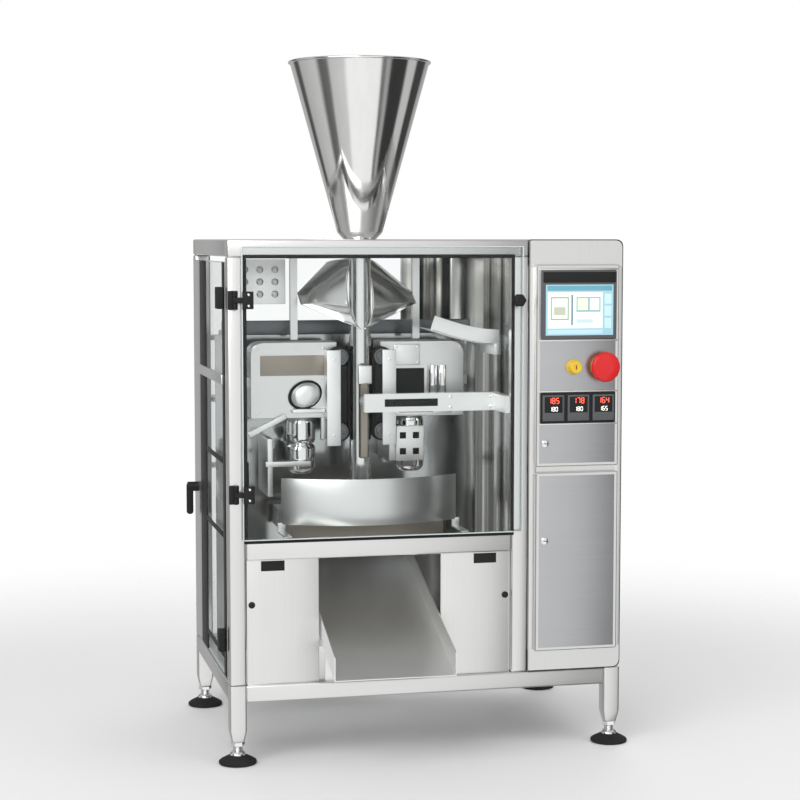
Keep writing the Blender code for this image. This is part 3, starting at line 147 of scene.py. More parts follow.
def eased(outline, ease, steps=4, closed=False):
    """Rounds the corners of a flat outline: each becomes a parabola between points set back by ease,
    or by under half of a short side. Each corner may have its own ease."""
    outline = np.asarray(outline, float)
    ease = np.reshape(np.broadcast_to(ease, len(outline)), (-1, 1))
    before, after = np.roll(outline, 1, 0), np.roll(outline, -1, 0)
    t = np.linspace(0, 1, steps + 1)[None, :, None]

    def set_back(towards):
        side = towards - outline
        length = np.linalg.norm(side, axis=1, keepdims=True)
        return outline + side / length * np.minimum(ease, 0.45 * length)

    start, end, corner = set_back(before)[:, None], set_back(after)[:, None], outline[:, None]
    curve = (1 - t) ** 2 * start + 2 * t * (1 - t) * corner + t ** 2 * end
    if closed:
        return curve.reshape(-1, 2)
    return np.concatenate([outline[:1], curve[1:-1].reshape(-1, 2), outline[-1:]])


def turned(profile, place=(0, 0, 0), axis="Z", steps=64, hollow=False):
    """Spins a profile of (radius, height) points: x = r cos a, y = r sin a, z = height."""
    profile = np.asarray(profile, float)
    angle = np.linspace(0, 2 * math.pi, steps, endpoint=False)
    radius, height = profile[:, :1], profile[:, 1:]
    points = np.stack([radius * np.cos(angle), radius * np.sin(angle), height + 0 * angle], -1)
    return aimed(grid_form(points, along=hollow), axis, place)


def rod(radius, length, place, axis="Z", ease=0.001, steps=32):
    """A plain round bar with eased ends, from its place along the axis."""
    corner = [(0, 0), (radius, 0), (radius, length), (0, length)]
    return turned(eased(corner, ease, 2), place, axis, steps)


def box(low, high, ease=0.002, steps=3):
    """A block with rounded edges: a ball of radius ease, cut into eight and moved out to the corners."""
    low, high = np.minimum(low, high).astype(float), np.maximum(low, high).astype(float)
    half, centre = (high - low) / 2, (high + low) / 2
    ease = min(ease, 0.49 * 2 * half.min())
    quarter = np.linspace(0, math.pi / 2, steps + 1)
    turn = (quarter + np.arange(4)[:, None] * math.pi / 2).ravel()
    rise = np.concatenate([quarter - math.pi / 2, quarter])
    ball = np.stack([np.cos(rise)[:, None] * np.cos(turn), np.cos(rise)[:, None] * np.sin(turn),
                     np.sin(rise)[:, None] + 0 * turn], -1)
    sign_x, sign_y = np.repeat([1, -1, -1, 1], steps + 1), np.repeat([1, 1, -1, -1], steps + 1)
    sign_z = np.repeat([-1, 1], steps + 1)[:, None]
    corner = np.stack(np.broadcast_arrays(sign_x[None], sign_y[None], sign_z), -1)
    return grid_form(centre + corner * (half - ease) + ease * ball)


def prism(outline, low, high, axis="Z", ease=0.0):
    """A flat outline carried straight along an axis, with its two rims drawn in by ease."""
    outline = np.asarray(outline, float)
    centre = outline.mean(0)
    reach = np.abs(outline - centre).max()
    inner = centre + (outline - centre) * (1 - ease / reach)
    rings = [(inner, low), (outline, low + ease), (outline, high - ease), (inner, high)]
    rings = rings if ease else [rings[1], rings[2]]
    points = np.stack([np.column_stack([ring, np.full(len(ring), z)]) for ring, z in rings])
    return aimed(grid_form(points), axis)


def carried(profile, path, up=(0, 0, 1)):
    """Carries a closed profile along a line: at each point its two sides lie across the line's direction,
    one of them square to up."""
    profile, path = np.asarray(profile, float), np.asarray(path, float)
    ahead = np.gradient(path, axis=0)
    ahead /= np.linalg.norm(ahead, axis=1, keepdims=True)
    side = np.cross(ahead, up)
    side /= np.linalg.norm(side, axis=1, keepdims=True)
    over = np.cross(side, ahead)
    points = path[:, None] + profile[None, :, :1] * side[:, None] + profile[None, :, 1:] * over[:, None]
    return grid_form(points)


def circle(radius, steps=16):
    angle = np.linspace(0, 2 * math.pi, steps, endpoint=False)
    return radius * np.column_stack([np.cos(angle), np.sin(angle)])


def rectangle(width, height, centre=(0, 0)):
    half = np.array([width, height]) / 2
    return np.array([(-1, -1), (1, -1), (1, 1), (-1, 1)]) * half + centre


SHARP_FROM = math.radians(32)
WELD_DISTANCE = 1e-6


def piece(name, form, finish, body, stands_for=()):
    """Puts a form into the scene: doubles merged, faces turned out, smooth up to a sharp angle, riding on
    its body and standing for the solids that it replaces."""
    mesh = bpy.data.meshes.new(name)
    faces = form.quads.tolist() + [cap.tolist() for cap in form.caps]
    mesh.from_pydata(form.points.tolist(), [], faces)
    work = bmesh.new()
    work.from_mesh(mesh)
    bmesh.ops.remove_doubles(work, verts=work.verts, dist=WELD_DISTANCE)
    bmesh.ops.recalc_face_normals(work, faces=work.faces)
    work.to_mesh(mesh)
    work.free()
    mesh.shade_smooth()
    mesh.set_sharp_from_angle(angle=SHARP_FROM)
    mesh.materials.append(finish)
    made = bpy.data.objects.new(name, mesh)
    bpy.context.scene.collection.objects.link(made)
    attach(made, body)
    if stands_for:
        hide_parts(*([stands_for] if isinstance(stands_for, str) else stands_for))
    return made


def node_box(name):
    """A solid's lowest and highest corner as arrays."""
    low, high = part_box(name)
    return np.array(low), np.array(high)


print("form helpers ready")

# %% [markdown]
# ## Shader sums as Python sums
# A finish is a small net of nodes. Written node by node it is long and hard to read, so a socket is
# wrapped in a class whose plus, minus and times add the Math nodes. The finishes below then read like
# the recipe that they are.

# %% A socket that can be added and multiplied


class Value:
    """One output socket of a finish. Sums with numbers or other values add Math nodes."""

    def __init__(self, finish, socket):
        self.finish = finish
        self.socket = socket

    def sum_with(self, operation, first, second):
        return self.finish.node("ShaderNodeMath", {"operation": operation}, {0: first, 1: second})

    def __add__(self, other):
        return self.sum_with("ADD", self, other)

    def __sub__(self, other):
        return self.sum_with("SUBTRACT", self, other)

    def __rsub__(self, other):
        return self.sum_with("SUBTRACT", other, self)

    def __mul__(self, other):
        return self.sum_with("MULTIPLY", self, other)

    def __truediv__(self, other):
        return self.sum_with("DIVIDE", self, other)

    def __pow__(self, other):
        return self.sum_with("POWER", self, other)

    def __gt__(self, other):
        return self.sum_with("GREATER_THAN", self, other)

    def __lt__(self, other):
        return self.sum_with("LESS_THAN", self, other)

    def most(self, other):
        return self.sum_with("MAXIMUM", self, other)

    def wave(self):
        return self.sum_with("SINE", self, 0.0)

    def wrapped(self, period):
        return self.finish.node("ShaderNodeMath", {"operation": "WRAP"}, {0: self, 1: period, 2: 0.0})

    def size(self):
        return self.sum_with("ABSOLUTE", self, 0.0)

    __radd__ = __add__
    __rmul__ = __mul__


class Finish:
    """A material and its node net. Every node is made by the method node."""

    def __init__(self, tree):
        self.tree = tree
        self.tree.nodes.clear()

    def node(self, kind, settings=None, inputs=None, output=0):
        made = self.tree.nodes.new(kind)
        for key, setting in (settings or {}).items():
            if key == "stops":
                while len(made.color_ramp.elements) < len(setting):
                    made.color_ramp.elements.new(0.5)
                for element, (place, colour) in zip(made.color_ramp.elements, setting):
                    element.position, element.color = place, (*colour, 1)
            else:
                setattr(made, key, setting)
        for key, given in (inputs or {}).items():
            if isinstance(given, Value):
                self.tree.links.new(given.socket, made.inputs[key])
            else:
                made.inputs[key].default_value = given
        return Value(self, made.outputs[output])

    def spot(self):
        return self.node("ShaderNodeTexCoord", output="Object")

    def parts(self):
        """The x, y and z of a place on the piece, in metres."""
        split = self.node("ShaderNodeSeparateXYZ", None, {0: self.spot()})
        return [Value(self, out) for out in split.socket.node.outputs]

    def noise(self, stretch, detail=2.0, rough=0.5):
        """Noise with its own number of grains to the metre along x, y and z."""
        at = self.node("ShaderNodeMapping", None, {"Vector": self.spot(), "Scale": stretch})
        settings = {"Vector": at, "Scale": 1.0, "Detail": detail, "Roughness": rough}
        return self.node("ShaderNodeTexNoise", None, settings)

    def between(self, low, high, amount):
        """A smooth step of a value from low to high."""
        settings = {"interpolation_type": "SMOOTHSTEP"}
        return self.node("ShaderNodeMapRange", settings, {"Value": amount, "From Min": low, "From Max": high})

    def mix(self, amount, first, second):
        """A colour between two others, by an amount from 0 to 1."""
        return self.node("ShaderNodeMix", {"data_type": "RGBA"}, {0: amount, 6: first, 7: second}, 2)

    def bump(self, height, strength, distance):
        return self.node("ShaderNodeBump", None, {"Height": height, "Strength": strength,
                                                  "Distance": distance})

    def surface(self, **sockets):
        """The Principled shader. A socket's name is written with _ for its spaces."""
        named = {key.replace("_", " "): given for key, given in sockets.items()}
        return self.node("ShaderNodeBsdfPrincipled", None, named)

    def close(self, shader, kind="ShaderNodeOutputMaterial"):
        self.tree.links.new(shader.socket, self.tree.nodes.new(kind).inputs["Surface"])


def rgb(red, green, blue):
    return (red, green, blue, 1.0)


def new_material(name):
    material = bpy.data.materials.new(name)
    material.use_nodes = True
    return material, Finish(material.node_tree)


print("shader helpers ready")

# %% [markdown]
# ## Stainless steel, three ways
# The frame is satin tube: a fine grain runs along each length and smears highlights into streaks. The
# forming parts are polished sheet, which mirrors the hall but waves a little. The cabinet doors are a
# darker, finely brushed sheet. All three come from noise that is stretched hard along the grain.

# %% Steel finishes
GRAINS = {"X": (3.0, 620.0, 620.0), "Y": (620.0, 3.0, 620.0), "Z": (620.0, 620.0, 3.0)}
SMUDGE = (7.0, 7.0, 7.0)


def brushed(name, along, pale, dark, rough, spread):
    """Brushed sheet or tube: the grain sets colour and roughness, and slow smudges soften both."""
    material, f = new_material(name)
    grain = f.noise(GRAINS[along], 3.0, 0.6)
    smudge = f.noise(SMUDGE, 3.0, 0.55)
    colour = f.mix(grain * 0.7 + smudge * 0.3, rgb(*dark), rgb(*pale))
    roughness = rough - spread / 2 + spread * (grain * 0.6 + smudge * 0.4)
    normal = f.bump(grain, 0.10, 0.0004)
    f.close(f.surface(Base_Color=colour, Metallic=1.0, Roughness=roughness, Normal=normal))
    return material


def polished(name, pale, dark, rough, wave):
    """Polished sheet: a slow wave in its surface bends what it mirrors, and wipe marks dull it a little."""
    material, f = new_material(name)
    slow = f.noise((5.0, 5.0, 5.0), 1.0, 0.4)
    wipe = f.noise((40.0, 40.0, 9.0), 4.0, 0.6)
    colour = f.mix(wipe, rgb(*dark), rgb(*pale))
    roughness = rough * 0.6 + rough * 0.8 * wipe
    normal = f.bump(slow, wave, 0.02)
    f.close(f.surface(Base_Color=colour, Metallic=1.0, Roughness=roughness, Normal=normal))
    return material


SATIN = {way: brushed(f"satin_steel_{way}", way, (0.86, 0.86, 0.85), (0.70, 0.70, 0.69), 0.30, 0.14)
         for way in "XYZ"}
PANEL = {way: brushed(f"panel_steel_{way}", way, (0.58, 0.59, 0.60), (0.43, 0.44, 0.45), 0.34, 0.12)
         for way in "XZ"}
POLISHED = polished("polished_steel", (0.88, 0.88, 0.87), (0.78, 0.78, 0.77), 0.10, 0.10)
MIRROR = polished("mirror_wall", (0.56, 0.57, 0.57), (0.40, 0.41, 0.41), 0.12, 0.30)
BRIGHT = polished("bright_chrome", (0.92, 0.92, 0.92), (0.85, 0.85, 0.85), 0.06, 0.02)
ALUMINIUM = brushed("machined_aluminium", "X", (0.84, 0.85, 0.86), (0.68, 0.69, 0.70), 0.32, 0.14)
PALE = brushed("pale_sheet", "X", (0.97, 0.97, 0.96), (0.90, 0.90, 0.89), 0.40, 0.10)
DARK_SHEET = brushed("dark_sheet", "X", (0.22, 0.23, 0.24), (0.12, 0.125, 0.13), 0.36, 0.12)
BRONZE = brushed("heater_bronze", "X", (0.42, 0.38, 0.33), (0.30, 0.27, 0.23), 0.40, 0.20)
print("steel finishes:", [m.name for m in bpy.data.materials if m.users == 0])

# %% [markdown]
# ## Rubber, plastics and clear sheet
# Moulded plastic has a fine pebble grain, and rubber is duller with dust in its hollows. The doors are
# clear acrylic. A full glass shader would bend and darken everything behind the thin sheet, so the sheet
# is a Fresnel mix of a see-through shader and a clear gloss.

# %% Other finishes


def moulded(name, colour, rough, grain_size=900.0, depth=0.12, dust=0.0, gloss=0.5):
    """Moulded plastic or rubber: pebble grain in the bump, and a little pale dust where wanted."""
    material, f = new_material(name)
    pebble = f.noise((grain_size,) * 3, 2.0, 0.5)
    smudge = f.noise((18.0, 18.0, 18.0), 3.0, 0.6)
    base = f.mix(smudge * dust, rgb(*colour), rgb(0.40, 0.40, 0.39))
    normal = f.bump(pebble, depth, 0.0003)
    f.close(f.surface(Base_Color=base, Roughness=rough - 0.08 + 0.16 * smudge, Normal=normal,
                      Specular_IOR_Level=gloss))
    return material


def clear_sheet(name, tint):
    """Acrylic sheet: straight through, with faint wipe marks and a gloss that grows with the fifth power of
    the slant at which the sheet is seen."""
    material, f = new_material(name)
    wipe = f.noise((9.0, 9.0, 3.0), 4.0, 0.6)
    gloss = f.surface(Base_Color=rgb(0.96, 0.98, 0.98), Roughness=0.03 + 0.05 * wipe, Metallic=1.0)
    clear = f.node("ShaderNodeBsdfTransparent", None, {"Color": rgb(*tint)})
    slant = f.node("ShaderNodeLayerWeight", None, {"Blend": 0.5}, "Facing")
    share = slant ** 5.0 * 0.45 + wipe * 0.012
    f.close(f.node("ShaderNodeMixShader", None, {0: share, 1: clear, 2: gloss}))
    return material


RUBBER = moulded("black_rubber", (0.014, 0.014, 0.014), 0.72, 500.0, 0.2, 0.04, 0.15)
PLASTIC = moulded("black_plastic", (0.014, 0.014, 0.015), 0.48, dust=0.01, gloss=0.20)
DARK_GREY = moulded("dark_grey_plastic", (0.085, 0.09, 0.095), 0.40)
RED = moulded("red_plastic", (0.66, 0.010, 0.012), 0.28, depth=0.04)
YELLOW = moulded("yellow_plastic", (0.80, 0.52, 0.03), 0.34, depth=0.05)
WHITE = moulded("white_coat", (0.80, 0.80, 0.79), 0.38, 700.0, 0.10)
CLEAR = clear_sheet("clear_sheet", (0.97, 0.98, 0.98))
CLEAR_EDGE = moulded("clear_sheet_edge", (0.60, 0.66, 0.66), 0.18, depth=0.02)
print("finishes:", len(bpy.data.materials))

# %% [markdown]
# ## Camera, floor and light
# The machine is seen from its left front, with the eye level with its top. A white hall is all round it:
# the world is white to the camera and to mirrors, with a few soft darker bands that give polished
# steel its streaks, and dimmer to everything else so that colours keep their level. The floor fades
# into the white, and mirrors look past it to the hall.

# %% Camera
CAMERA_AT = (-1.38, -6.15, 1.54)
CAMERA_AIM = (0.0, -0.16, 1.035)
LENS = 88.0

camera_data = bpy.data.cameras.new("camera")
camera_data.lens = LENS
camera = bpy.data.objects.new("camera", camera_data)
camera.location = CAMERA_AT
camera.rotation_euler = (Vector(CAMERA_AIM) - camera.location).to_track_quat("-Z", "Y").to_euler()
bpy.context.scene.collection.objects.link(camera)
bpy.context.scene.camera = camera
bpy.context.scene.view_settings.view_transform = "Standard"
print("camera at", CAMERA_AT)

# %% Floor, world and lamps
FLOOR_HALF = 9.0
FLOOR_NEAR, FLOOR_FAR = 1.3, 3.4
WORLD_LIGHT = 0.55
HALL_FRONT = math.radians(-102)
HALL_BANDS = [
    (0.00, 0.30), (0.03, 0.50), (0.10, 0.46), (0.12, 0.08), (0.15, 0.10), (0.165, 0.46), (0.27, 0.60),
    (0.295, 0.12), (0.335, 0.16), (0.35, 0.58), (0.42, 0.66), (0.44, 1.00), (0.53, 1.00), (0.555, 0.97),
    (0.608, 0.97), (0.618, 0.20), (0.632, 0.18), (0.642, 0.40), (0.655, 0.36), (0.666, 0.04), (0.745, 0.04),
    (0.758, 0.56), (0.805, 0.56), (0.82, 0.05), (0.885, 0.06), (0.90, 0.36), (0.97, 0.50), (1.00, 0.30),
]

floor_mesh = bpy.data.meshes.new("floor")
floor_mesh.from_pydata([(x, y, 0.0) for x, y in rectangle(2 * FLOOR_HALF, 2 * FLOOR_HALF)], [], [(0, 1, 2, 3)])
floor_material, floor_net = new_material("pale_floor")
across, along, _ = floor_net.parts()
far = floor_net.between(FLOOR_NEAR, FLOOR_FAR, (across ** 2 + along ** 2) ** 0.5)
far = far.most(floor_net.node("ShaderNodeLightPath", output="Is Glossy Ray"))
pale = floor_net.surface(Base_Color=rgb(0.86, 0.86, 0.86), Roughness=0.6)
gone = floor_net.node("ShaderNodeBsdfTransparent")
floor_net.close(floor_net.node("ShaderNodeMixShader", None, {0: far, 1: pale, 2: gone}))
floor_mesh.materials.append(floor_material)
floor = bpy.data.objects.new("floor", floor_mesh)
bpy.context.scene.collection.objects.link(floor)

hall = bpy.data.worlds.new("white_hall")
hall.use_nodes = True
bpy.context.scene.world = hall
air = Finish(hall.node_tree)
ray = air.node("ShaderNodeLightPath", output="Is Camera Ray")
glossy = Value(air, ray.socket.node.outputs["Is Glossy Ray"])
through = Value(air, ray.socket.node.outputs["Is Transmission Ray"])
look = air.node("ShaderNodeTexCoord", output="Generated")
look_x, look_y, look_z = [Value(air, out) for out in
                          air.node("ShaderNodeSeparateXYZ", None, {0: look}).socket.node.outputs]
bearing = look_x.sum_with("ARCTAN2", look_y, look_x) - HALL_FRONT
share = (bearing / (2 * math.pi) + 0.5).wrapped(1.0)
hall_side = air.node("ShaderNodeValToRGB", {"stops": [(place, (level,) * 3) for place, level in HALL_BANDS]},
                     {"Fac": share})
overhead = air.between(0.45, 0.8, look_z)
mirrored = air.mix(overhead, hall_side, rgb(0.55, 0.55, 0.55))
white = ray.most(through)
plain = air.mix(white, rgb(WORLD_LIGHT, WORLD_LIGHT, WORLD_LIGHT), rgb(1, 1, 1))
seen = air.mix(glossy * (1 - white), plain, mirrored)
air.close(air.node("ShaderNodeBackground", None, {"Color": seen, "Strength": 1.0}), "ShaderNodeOutputWorld")

LAMPS = {
    "key_lamp": ((-2.6, -3.4, 3.4), 3.6, 130.0, True),
    "fill_lamp": ((3.0, -3.0, 2.2), 3.8, 60.0, False),
    "back_lamp": ((0.8, 3.2, 3.2), 4.0, 70.0, False),
}
LAMP_AIM = Vector((0.0, -0.1, 0.9))
for lamp_name, (lamp_at, lamp_side, lamp_power, in_mirrors) in LAMPS.items():
    lamp_data = bpy.data.lights.new(lamp_name, "AREA")
    lamp_data.size = lamp_side
    lamp_data.energy = lamp_power
    lamp = bpy.data.objects.new(lamp_name, lamp_data)
    lamp.location = lamp_at
    lamp.visible_glossy = in_mirrors
    lamp.rotation_euler = (LAMP_AIM - lamp.location).to_track_quat("-Z", "Y").to_euler()
    bpy.context.scene.collection.objects.link(lamp)
print("lamps:", list(LAMPS))

# %% [markdown]
# ## The tube frame
# Square stainless tube is cold drawn, so its edges are rounded by about its wall. A plain block shows no
# line of light there. Each tube is therefore a box with eased edges, with its grain along its length, and
# the legs run on below the base and taper to the levelling feet.

# %% Posts, rings and rail
TUBE_EASE = 0.006
RAIL_HEIGHT = 0.055
LEG_TAPER = 0.034
LEG_TIP = 0.72
POSTS = ["post_front_left", "post_front_right", "post_rear_left", "post_rear_right"]

for post in POSTS:
    low, high = node_box(post)
    piece(f"{post}_tube", box(low, high, TUBE_EASE), SATIN["Z"], "frame", post)
low, high = node_box("front_rail")
rail_low = np.array([low[0], low[1], high[2] - RAIL_HEIGHT])
piece("front_rail_tube", box(rail_low, high, TUBE_EASE), SATIN["X"], "frame", "front_rail")
apron_front, apron_back = low[1] + 0.012, low[1] + 0.016
chute_low, chute_high = node_box("discharge_chute")
aprons = [box((start, apron_front, low[2]), (end, apron_back, rail_low[2] + 0.004), 0.0012)
          for start, end in ((low[0] + 0.002, chute_low[0] - 0.005), (chute_high[0] + 0.005, high[0] - 0.002))]
piece("front_rail_aprons", joined(aprons), SATIN["Z"], "frame")
slots = [box((x, apron_front - 0.0006, rail_low[2] - 0.034), (x + 0.070, apron_front + 0.001, rail_low[2] - 0.004),
             0.0005) for x in (low[0] + 0.045, high[0] - 0.115)]
plugs = [rod(0.010, 0.004, (x, apron_front + 0.0004, rail_low[2] - 0.133), "-Y", 0.002, 24)
         for x in (low[0] + 0.017, high[0] - 0.017)]
piece("front_rail_apron_slots", joined(slots + plugs), PLASTIC, "frame")
side = node_box("post_front_left")[1][0] - node_box("post_front_left")[0][0]


SEAL_WIDTH, SEAL_FRONT, SEAL_BACK = 0.010, -0.5555, -0.5502
BUTT_GAP = 0.0002
window_low = np.array([node_box("post_front_left")[1][0], node_box("front_rail")[1][2]])
window_high = np.array([node_box("post_front_right")[0][0], node_box("top_frame")[0][2]])
seal_low, seal_high = window_low - SEAL_WIDTH / 2, window_high + SEAL_WIDTH / 2
seal = [box((x, SEAL_FRONT, seal_low[1]), (x + SEAL_WIDTH, SEAL_BACK, seal_high[1]), 0.002)
        for x in (seal_low[0], seal_high[0] - SEAL_WIDTH)]
seal_start, seal_end = seal_low[0] + SEAL_WIDTH + BUTT_GAP, seal_high[0] - SEAL_WIDTH - BUTT_GAP
seal += [box((seal_start, SEAL_FRONT, z), (seal_end, SEAL_BACK, z + SEAL_WIDTH), 0.002)
         for z in (seal_low[1], seal_high[1] - SEAL_WIDTH)]
piece("door_seal", joined(seal), RUBBER, "frame")


def ring_tubes(low, high, inset):
    """The two long tubes of a flat ring, and the two short ones between them, drawn in by inset."""
    x0, y0, z0 = low
    x1, y1, z1 = high
    long_tubes = [box((x0 + inset, y, z0), (x1 - inset, y + side, z1), TUBE_EASE) for y in (y0, y1 - side)]
    short_tubes = [box((x, y0 + side - inset / 8, z0), (x + side, y1 - side + inset / 8, z1), TUBE_EASE)
                   for x in (x0, x1 - side)]
    return joined(long_tubes), joined(short_tubes)


low, high = node_box("top_frame")
long_tubes, short_tubes = ring_tubes(low, high, 0.0)
piece("top_frame_long_tubes", long_tubes, SATIN["X"], "frame", "top_frame")
piece("top_frame_short_tubes", short_tubes, SATIN["Y"], "frame")

low, high = node_box("base_frame")
ring_low = np.array([low[0], low[1], high[2] - side])
long_tubes, short_tubes = ring_tubes(ring_low, high, side - 0.002)
cross_x = node_box("post_front_right")[0][0]
cross_tube = box((cross_x, low[1] + side - 0.002, ring_low[2] + 0.002),
                 (cross_x + side, high[1] - side + 0.002, high[2] - 0.002), TUBE_EASE)
piece("base_frame_long_tubes", long_tubes, SATIN["X"], "frame", "base_frame")
piece("base_frame_short_tubes", short_tubes + cross_tube, SATIN["Y"], "frame")


def lofted(loops, heights):
    """Flat loops of equal count, stacked at their heights."""
    return grid_form(np.stack([np.column_stack([loop, np.full(len(loop), height)])
                               for loop, height in zip(loops, heights)]))


legs = []
for x in (low[0] + side / 2, high[0] - side / 2):
    for y in (low[1] + side / 2, high[1] - side / 2):
        scale = [LEG_TIP - 0.05, LEG_TIP, 1.0, 1.0, 0.97]
        heights = [low[2], low[2] + 0.003, low[2] + LEG_TAPER, high[2] - 0.001, high[2]]
        loop = eased(rectangle(side, side), TUBE_EASE, closed=True)
        legs.append(lofted([loop * s + (x, y) for s in scale], heights))
piece("base_frame_legs", joined(legs), SATIN["Z"], "frame")
print("frame tube side:", round(side, 4))

# %% [markdown]
# ## Levelling feet
# A foot is a rubber pad on a swivelling steel bell, on a threaded rod with a lock nut. The thread is a
# profile whose radius swings with height, spun like any other turned part, so it catches light as a
# thread does.

# %% Feet
THREAD_PITCH = 0.0025
ROD_RADIUS, NUT_RADIUS = 0.0135, 0.021
for corner in ("front_left", "front_right", "rear_left", "rear_right"):
    low, high = node_box(f"levelling_foot_{corner}")
    at = ((low[0] + high[0]) / 2, (low[1] + high[1]) / 2, 0.0)
    reach, top = (high[0] - low[0]) / 2, high[2]
    pad = eased([(0, 0), (reach - 0.002, 0), (reach, 0.004), (reach, 0.009), (reach * 0.86, 0.014),
                 (reach * 0.45, 0.026), (0, 0.026)], 0.004)
    piece(f"levelling_foot_{corner}_pad", turned(pad, at, steps=72), RUBBER, "frame",
          f"levelling_foot_{corner}")
    heights = np.arange(0.038, top - 0.012, THREAD_PITCH / 8)
    thread = np.column_stack([ROD_RADIUS + 0.0007 * np.sin(heights / THREAD_PITCH * 2 * math.pi), heights])
    bell = eased([(0, 0.025), (0.0245, 0.025), (0.0235, 0.031), (0.0165, 0.038), (0, 0.038)], 0.003)
    nut = [(0, top - 0.012), (NUT_RADIUS - 0.001, top - 0.012), (NUT_RADIUS, top - 0.010),
           (NUT_RADIUS, top - 0.002), (NUT_RADIUS - 0.001, top), (0, top)]
    steel = turned(np.vstack([[(0, 0.038)], thread, [(0, thread[-1, 1])]]), at, steps=40)
    steel = steel + turned(bell, at, steps=48) + turned(nut, at, steps=6)
    piece(f"levelling_foot_{corner}_screw", steel, BRIGHT, "frame")
print("feet dressed")

# %% [markdown]
# ## Forming set
# The film comes over the collar, turns down through the slit between collar and tube and leaves as a tube
# round the forming tube. A real collar is rolled sheet: its rim runs round the neck on a slope and its
# wings spread to both sides. The solid has few faces, so the same rim and edge curves are drawn here again
# with many more, and the sheet is thickened by a modifier.

# %% Collar, tube and funnel
tube_low, tube_high = node_box("forming_tube")
tube_x, tube_y = (tube_low + tube_high)[:2] / 2
COLLAR_FRONT, COLLAR_CLIMB = 1.266, 0.219
COLLAR_NECK, COLLAR_LIP, COLLAR_CROWN, COLLAR_SHEET = 0.039, 0.006, 0.010, 0.003
COLLAR_WING = 0.182
COLLAR_TURNS = np.radians([9, 66, 104, 151.5, 180])
COLLAR_EDGE = np.array([(-0.007, -0.0444, 1.266), (-COLLAR_WING, 0.020, 1.342), (-COLLAR_WING, 0.080, 1.376),
                        (-0.078, 0.130, 1.468), (0.0, 0.130, 1.468)])


def collar(turns=181, steps=28):
    """With t round the neck and s from neck to edge: the neck is a circle on a slope,
    z0 + h (1 - cos t) / 2, the edge is straight between its corners, and a low crown 4 s (1 - s) lies
    between them. The right half mirrors the left."""
    t = np.linspace(COLLAR_TURNS[0], 2 * math.pi - COLLAR_TURNS[0], turns)
    half = np.minimum(t, 2 * math.pi - t)
    side = np.where(t <= math.pi, 1.0, -1.0)
    neck = np.stack([-COLLAR_NECK * np.sin(t), -COLLAR_NECK * np.cos(t),
                     COLLAR_FRONT + COLLAR_CLIMB * (1 - np.cos(t)) / 2], -1)
    edge = np.stack([np.interp(half, COLLAR_TURNS, COLLAR_EDGE[:, axis]) for axis in range(3)], -1)
    edge[:, 0] *= side
    s = np.linspace(0, 1, steps)[:, None, None]
    points = neck + (edge - neck) * s
    reach = np.linalg.norm(edge - neck, axis=1) / COLLAR_WING
    points[..., 2] += 4 * COLLAR_CROWN * (s * (1 - s))[..., 0] * reach
    return grid_form(points, around=False).moved((tube_x, tube_y, 0))


collar_sheet = piece("forming_collar_sheet", collar(), POLISHED, "frame", "forming_collar")
thick = collar_sheet.modifiers.new("sheet", "SOLIDIFY")
thick.thickness, thick.offset = COLLAR_SHEET, 0.0

TUBE_RADIUS, TUBE_WALL, FLANGE_RADIUS = 0.0337, 0.0025, 0.075
FUNNEL_TOP, FUNNEL_THROAT, FUNNEL_SHEET, RIM_BEAD = 0.215, 0.070, 0.003, 0.004
axis_at = (tube_x, tube_y, 0)
bottom, top = tube_low[2], tube_high[2]
seat = node_box("forming_plate")[1][2] + 0.0003
inner = TUBE_RADIUS - TUBE_WALL
tube_wall = [(inner, top), (FLANGE_RADIUS - 0.001, top), (FLANGE_RADIUS, top - 0.001), (FLANGE_RADIUS, seat),
             (TUBE_RADIUS, seat), (TUBE_RADIUS, bottom), (inner, bottom)]
piece("forming_tube_wall", turned(tube_wall, axis_at, steps=96, hollow=True), POLISHED, "frame",
      "forming_tube")

low, high = node_box("filling_funnel")
rest, mouth, throat = top + 0.0003, high[2], seat + 0.048
spigot = inner - 0.002
bend = np.radians(np.linspace(-120, 150, 13))
bead = np.column_stack([FUNNEL_TOP - 0.001 + RIM_BEAD * np.cos(bend), mouth - RIM_BEAD + RIM_BEAD * np.sin(bend)])
inside = [(FUNNEL_TOP - FUNNEL_SHEET - 0.002, mouth - 2 * RIM_BEAD), (FUNNEL_THROAT - FUNNEL_SHEET, throat + 0.002),
          (spigot - FUNNEL_SHEET, rest + 0.006), (spigot - FUNNEL_SHEET, low[2])]
outside = [(spigot, low[2]), (spigot, rest), (TUBE_RADIUS + 0.0003, rest), (TUBE_RADIUS + 0.0003, rest + 0.003),
           (FUNNEL_THROAT - 0.004, throat - 0.003), (FUNNEL_THROAT, throat + 0.003)]
cone = np.vstack([inside, outside, bead])
piece("filling_funnel_sheet", turned(cone, axis_at, steps=144, hollow=True), POLISHED, "frame",
      "filling_funnel")
angle = np.radians([45, 135, 225, 315])
flange_screws = rod(0.0055, 0.004, (0, 0, 0), steps=6).repeated(
    np.column_stack([tube_x + 0.06 * np.cos(angle), tube_y + 0.06 * np.sin(angle), np.full(4, top)]))
piece("forming_tube_screws", flange_screws, BRIGHT, "frame")
print("forming set:", len(collar_sheet.data.polygons), "collar faces")

# %% [markdown]
# ## Film pull units
# Each unit is a housing on a rail, with a motor below and a toothed belt on two pulleys that grips the
# film on the tube. The housing's top outer corner is rolled, and its covers are screwed on. The belt is a
# loop of two half circles and two straight runs; its ribs are a small square wave added to the thickness.

# %% Housings and motors
HOUSING_ROLL = 0.045


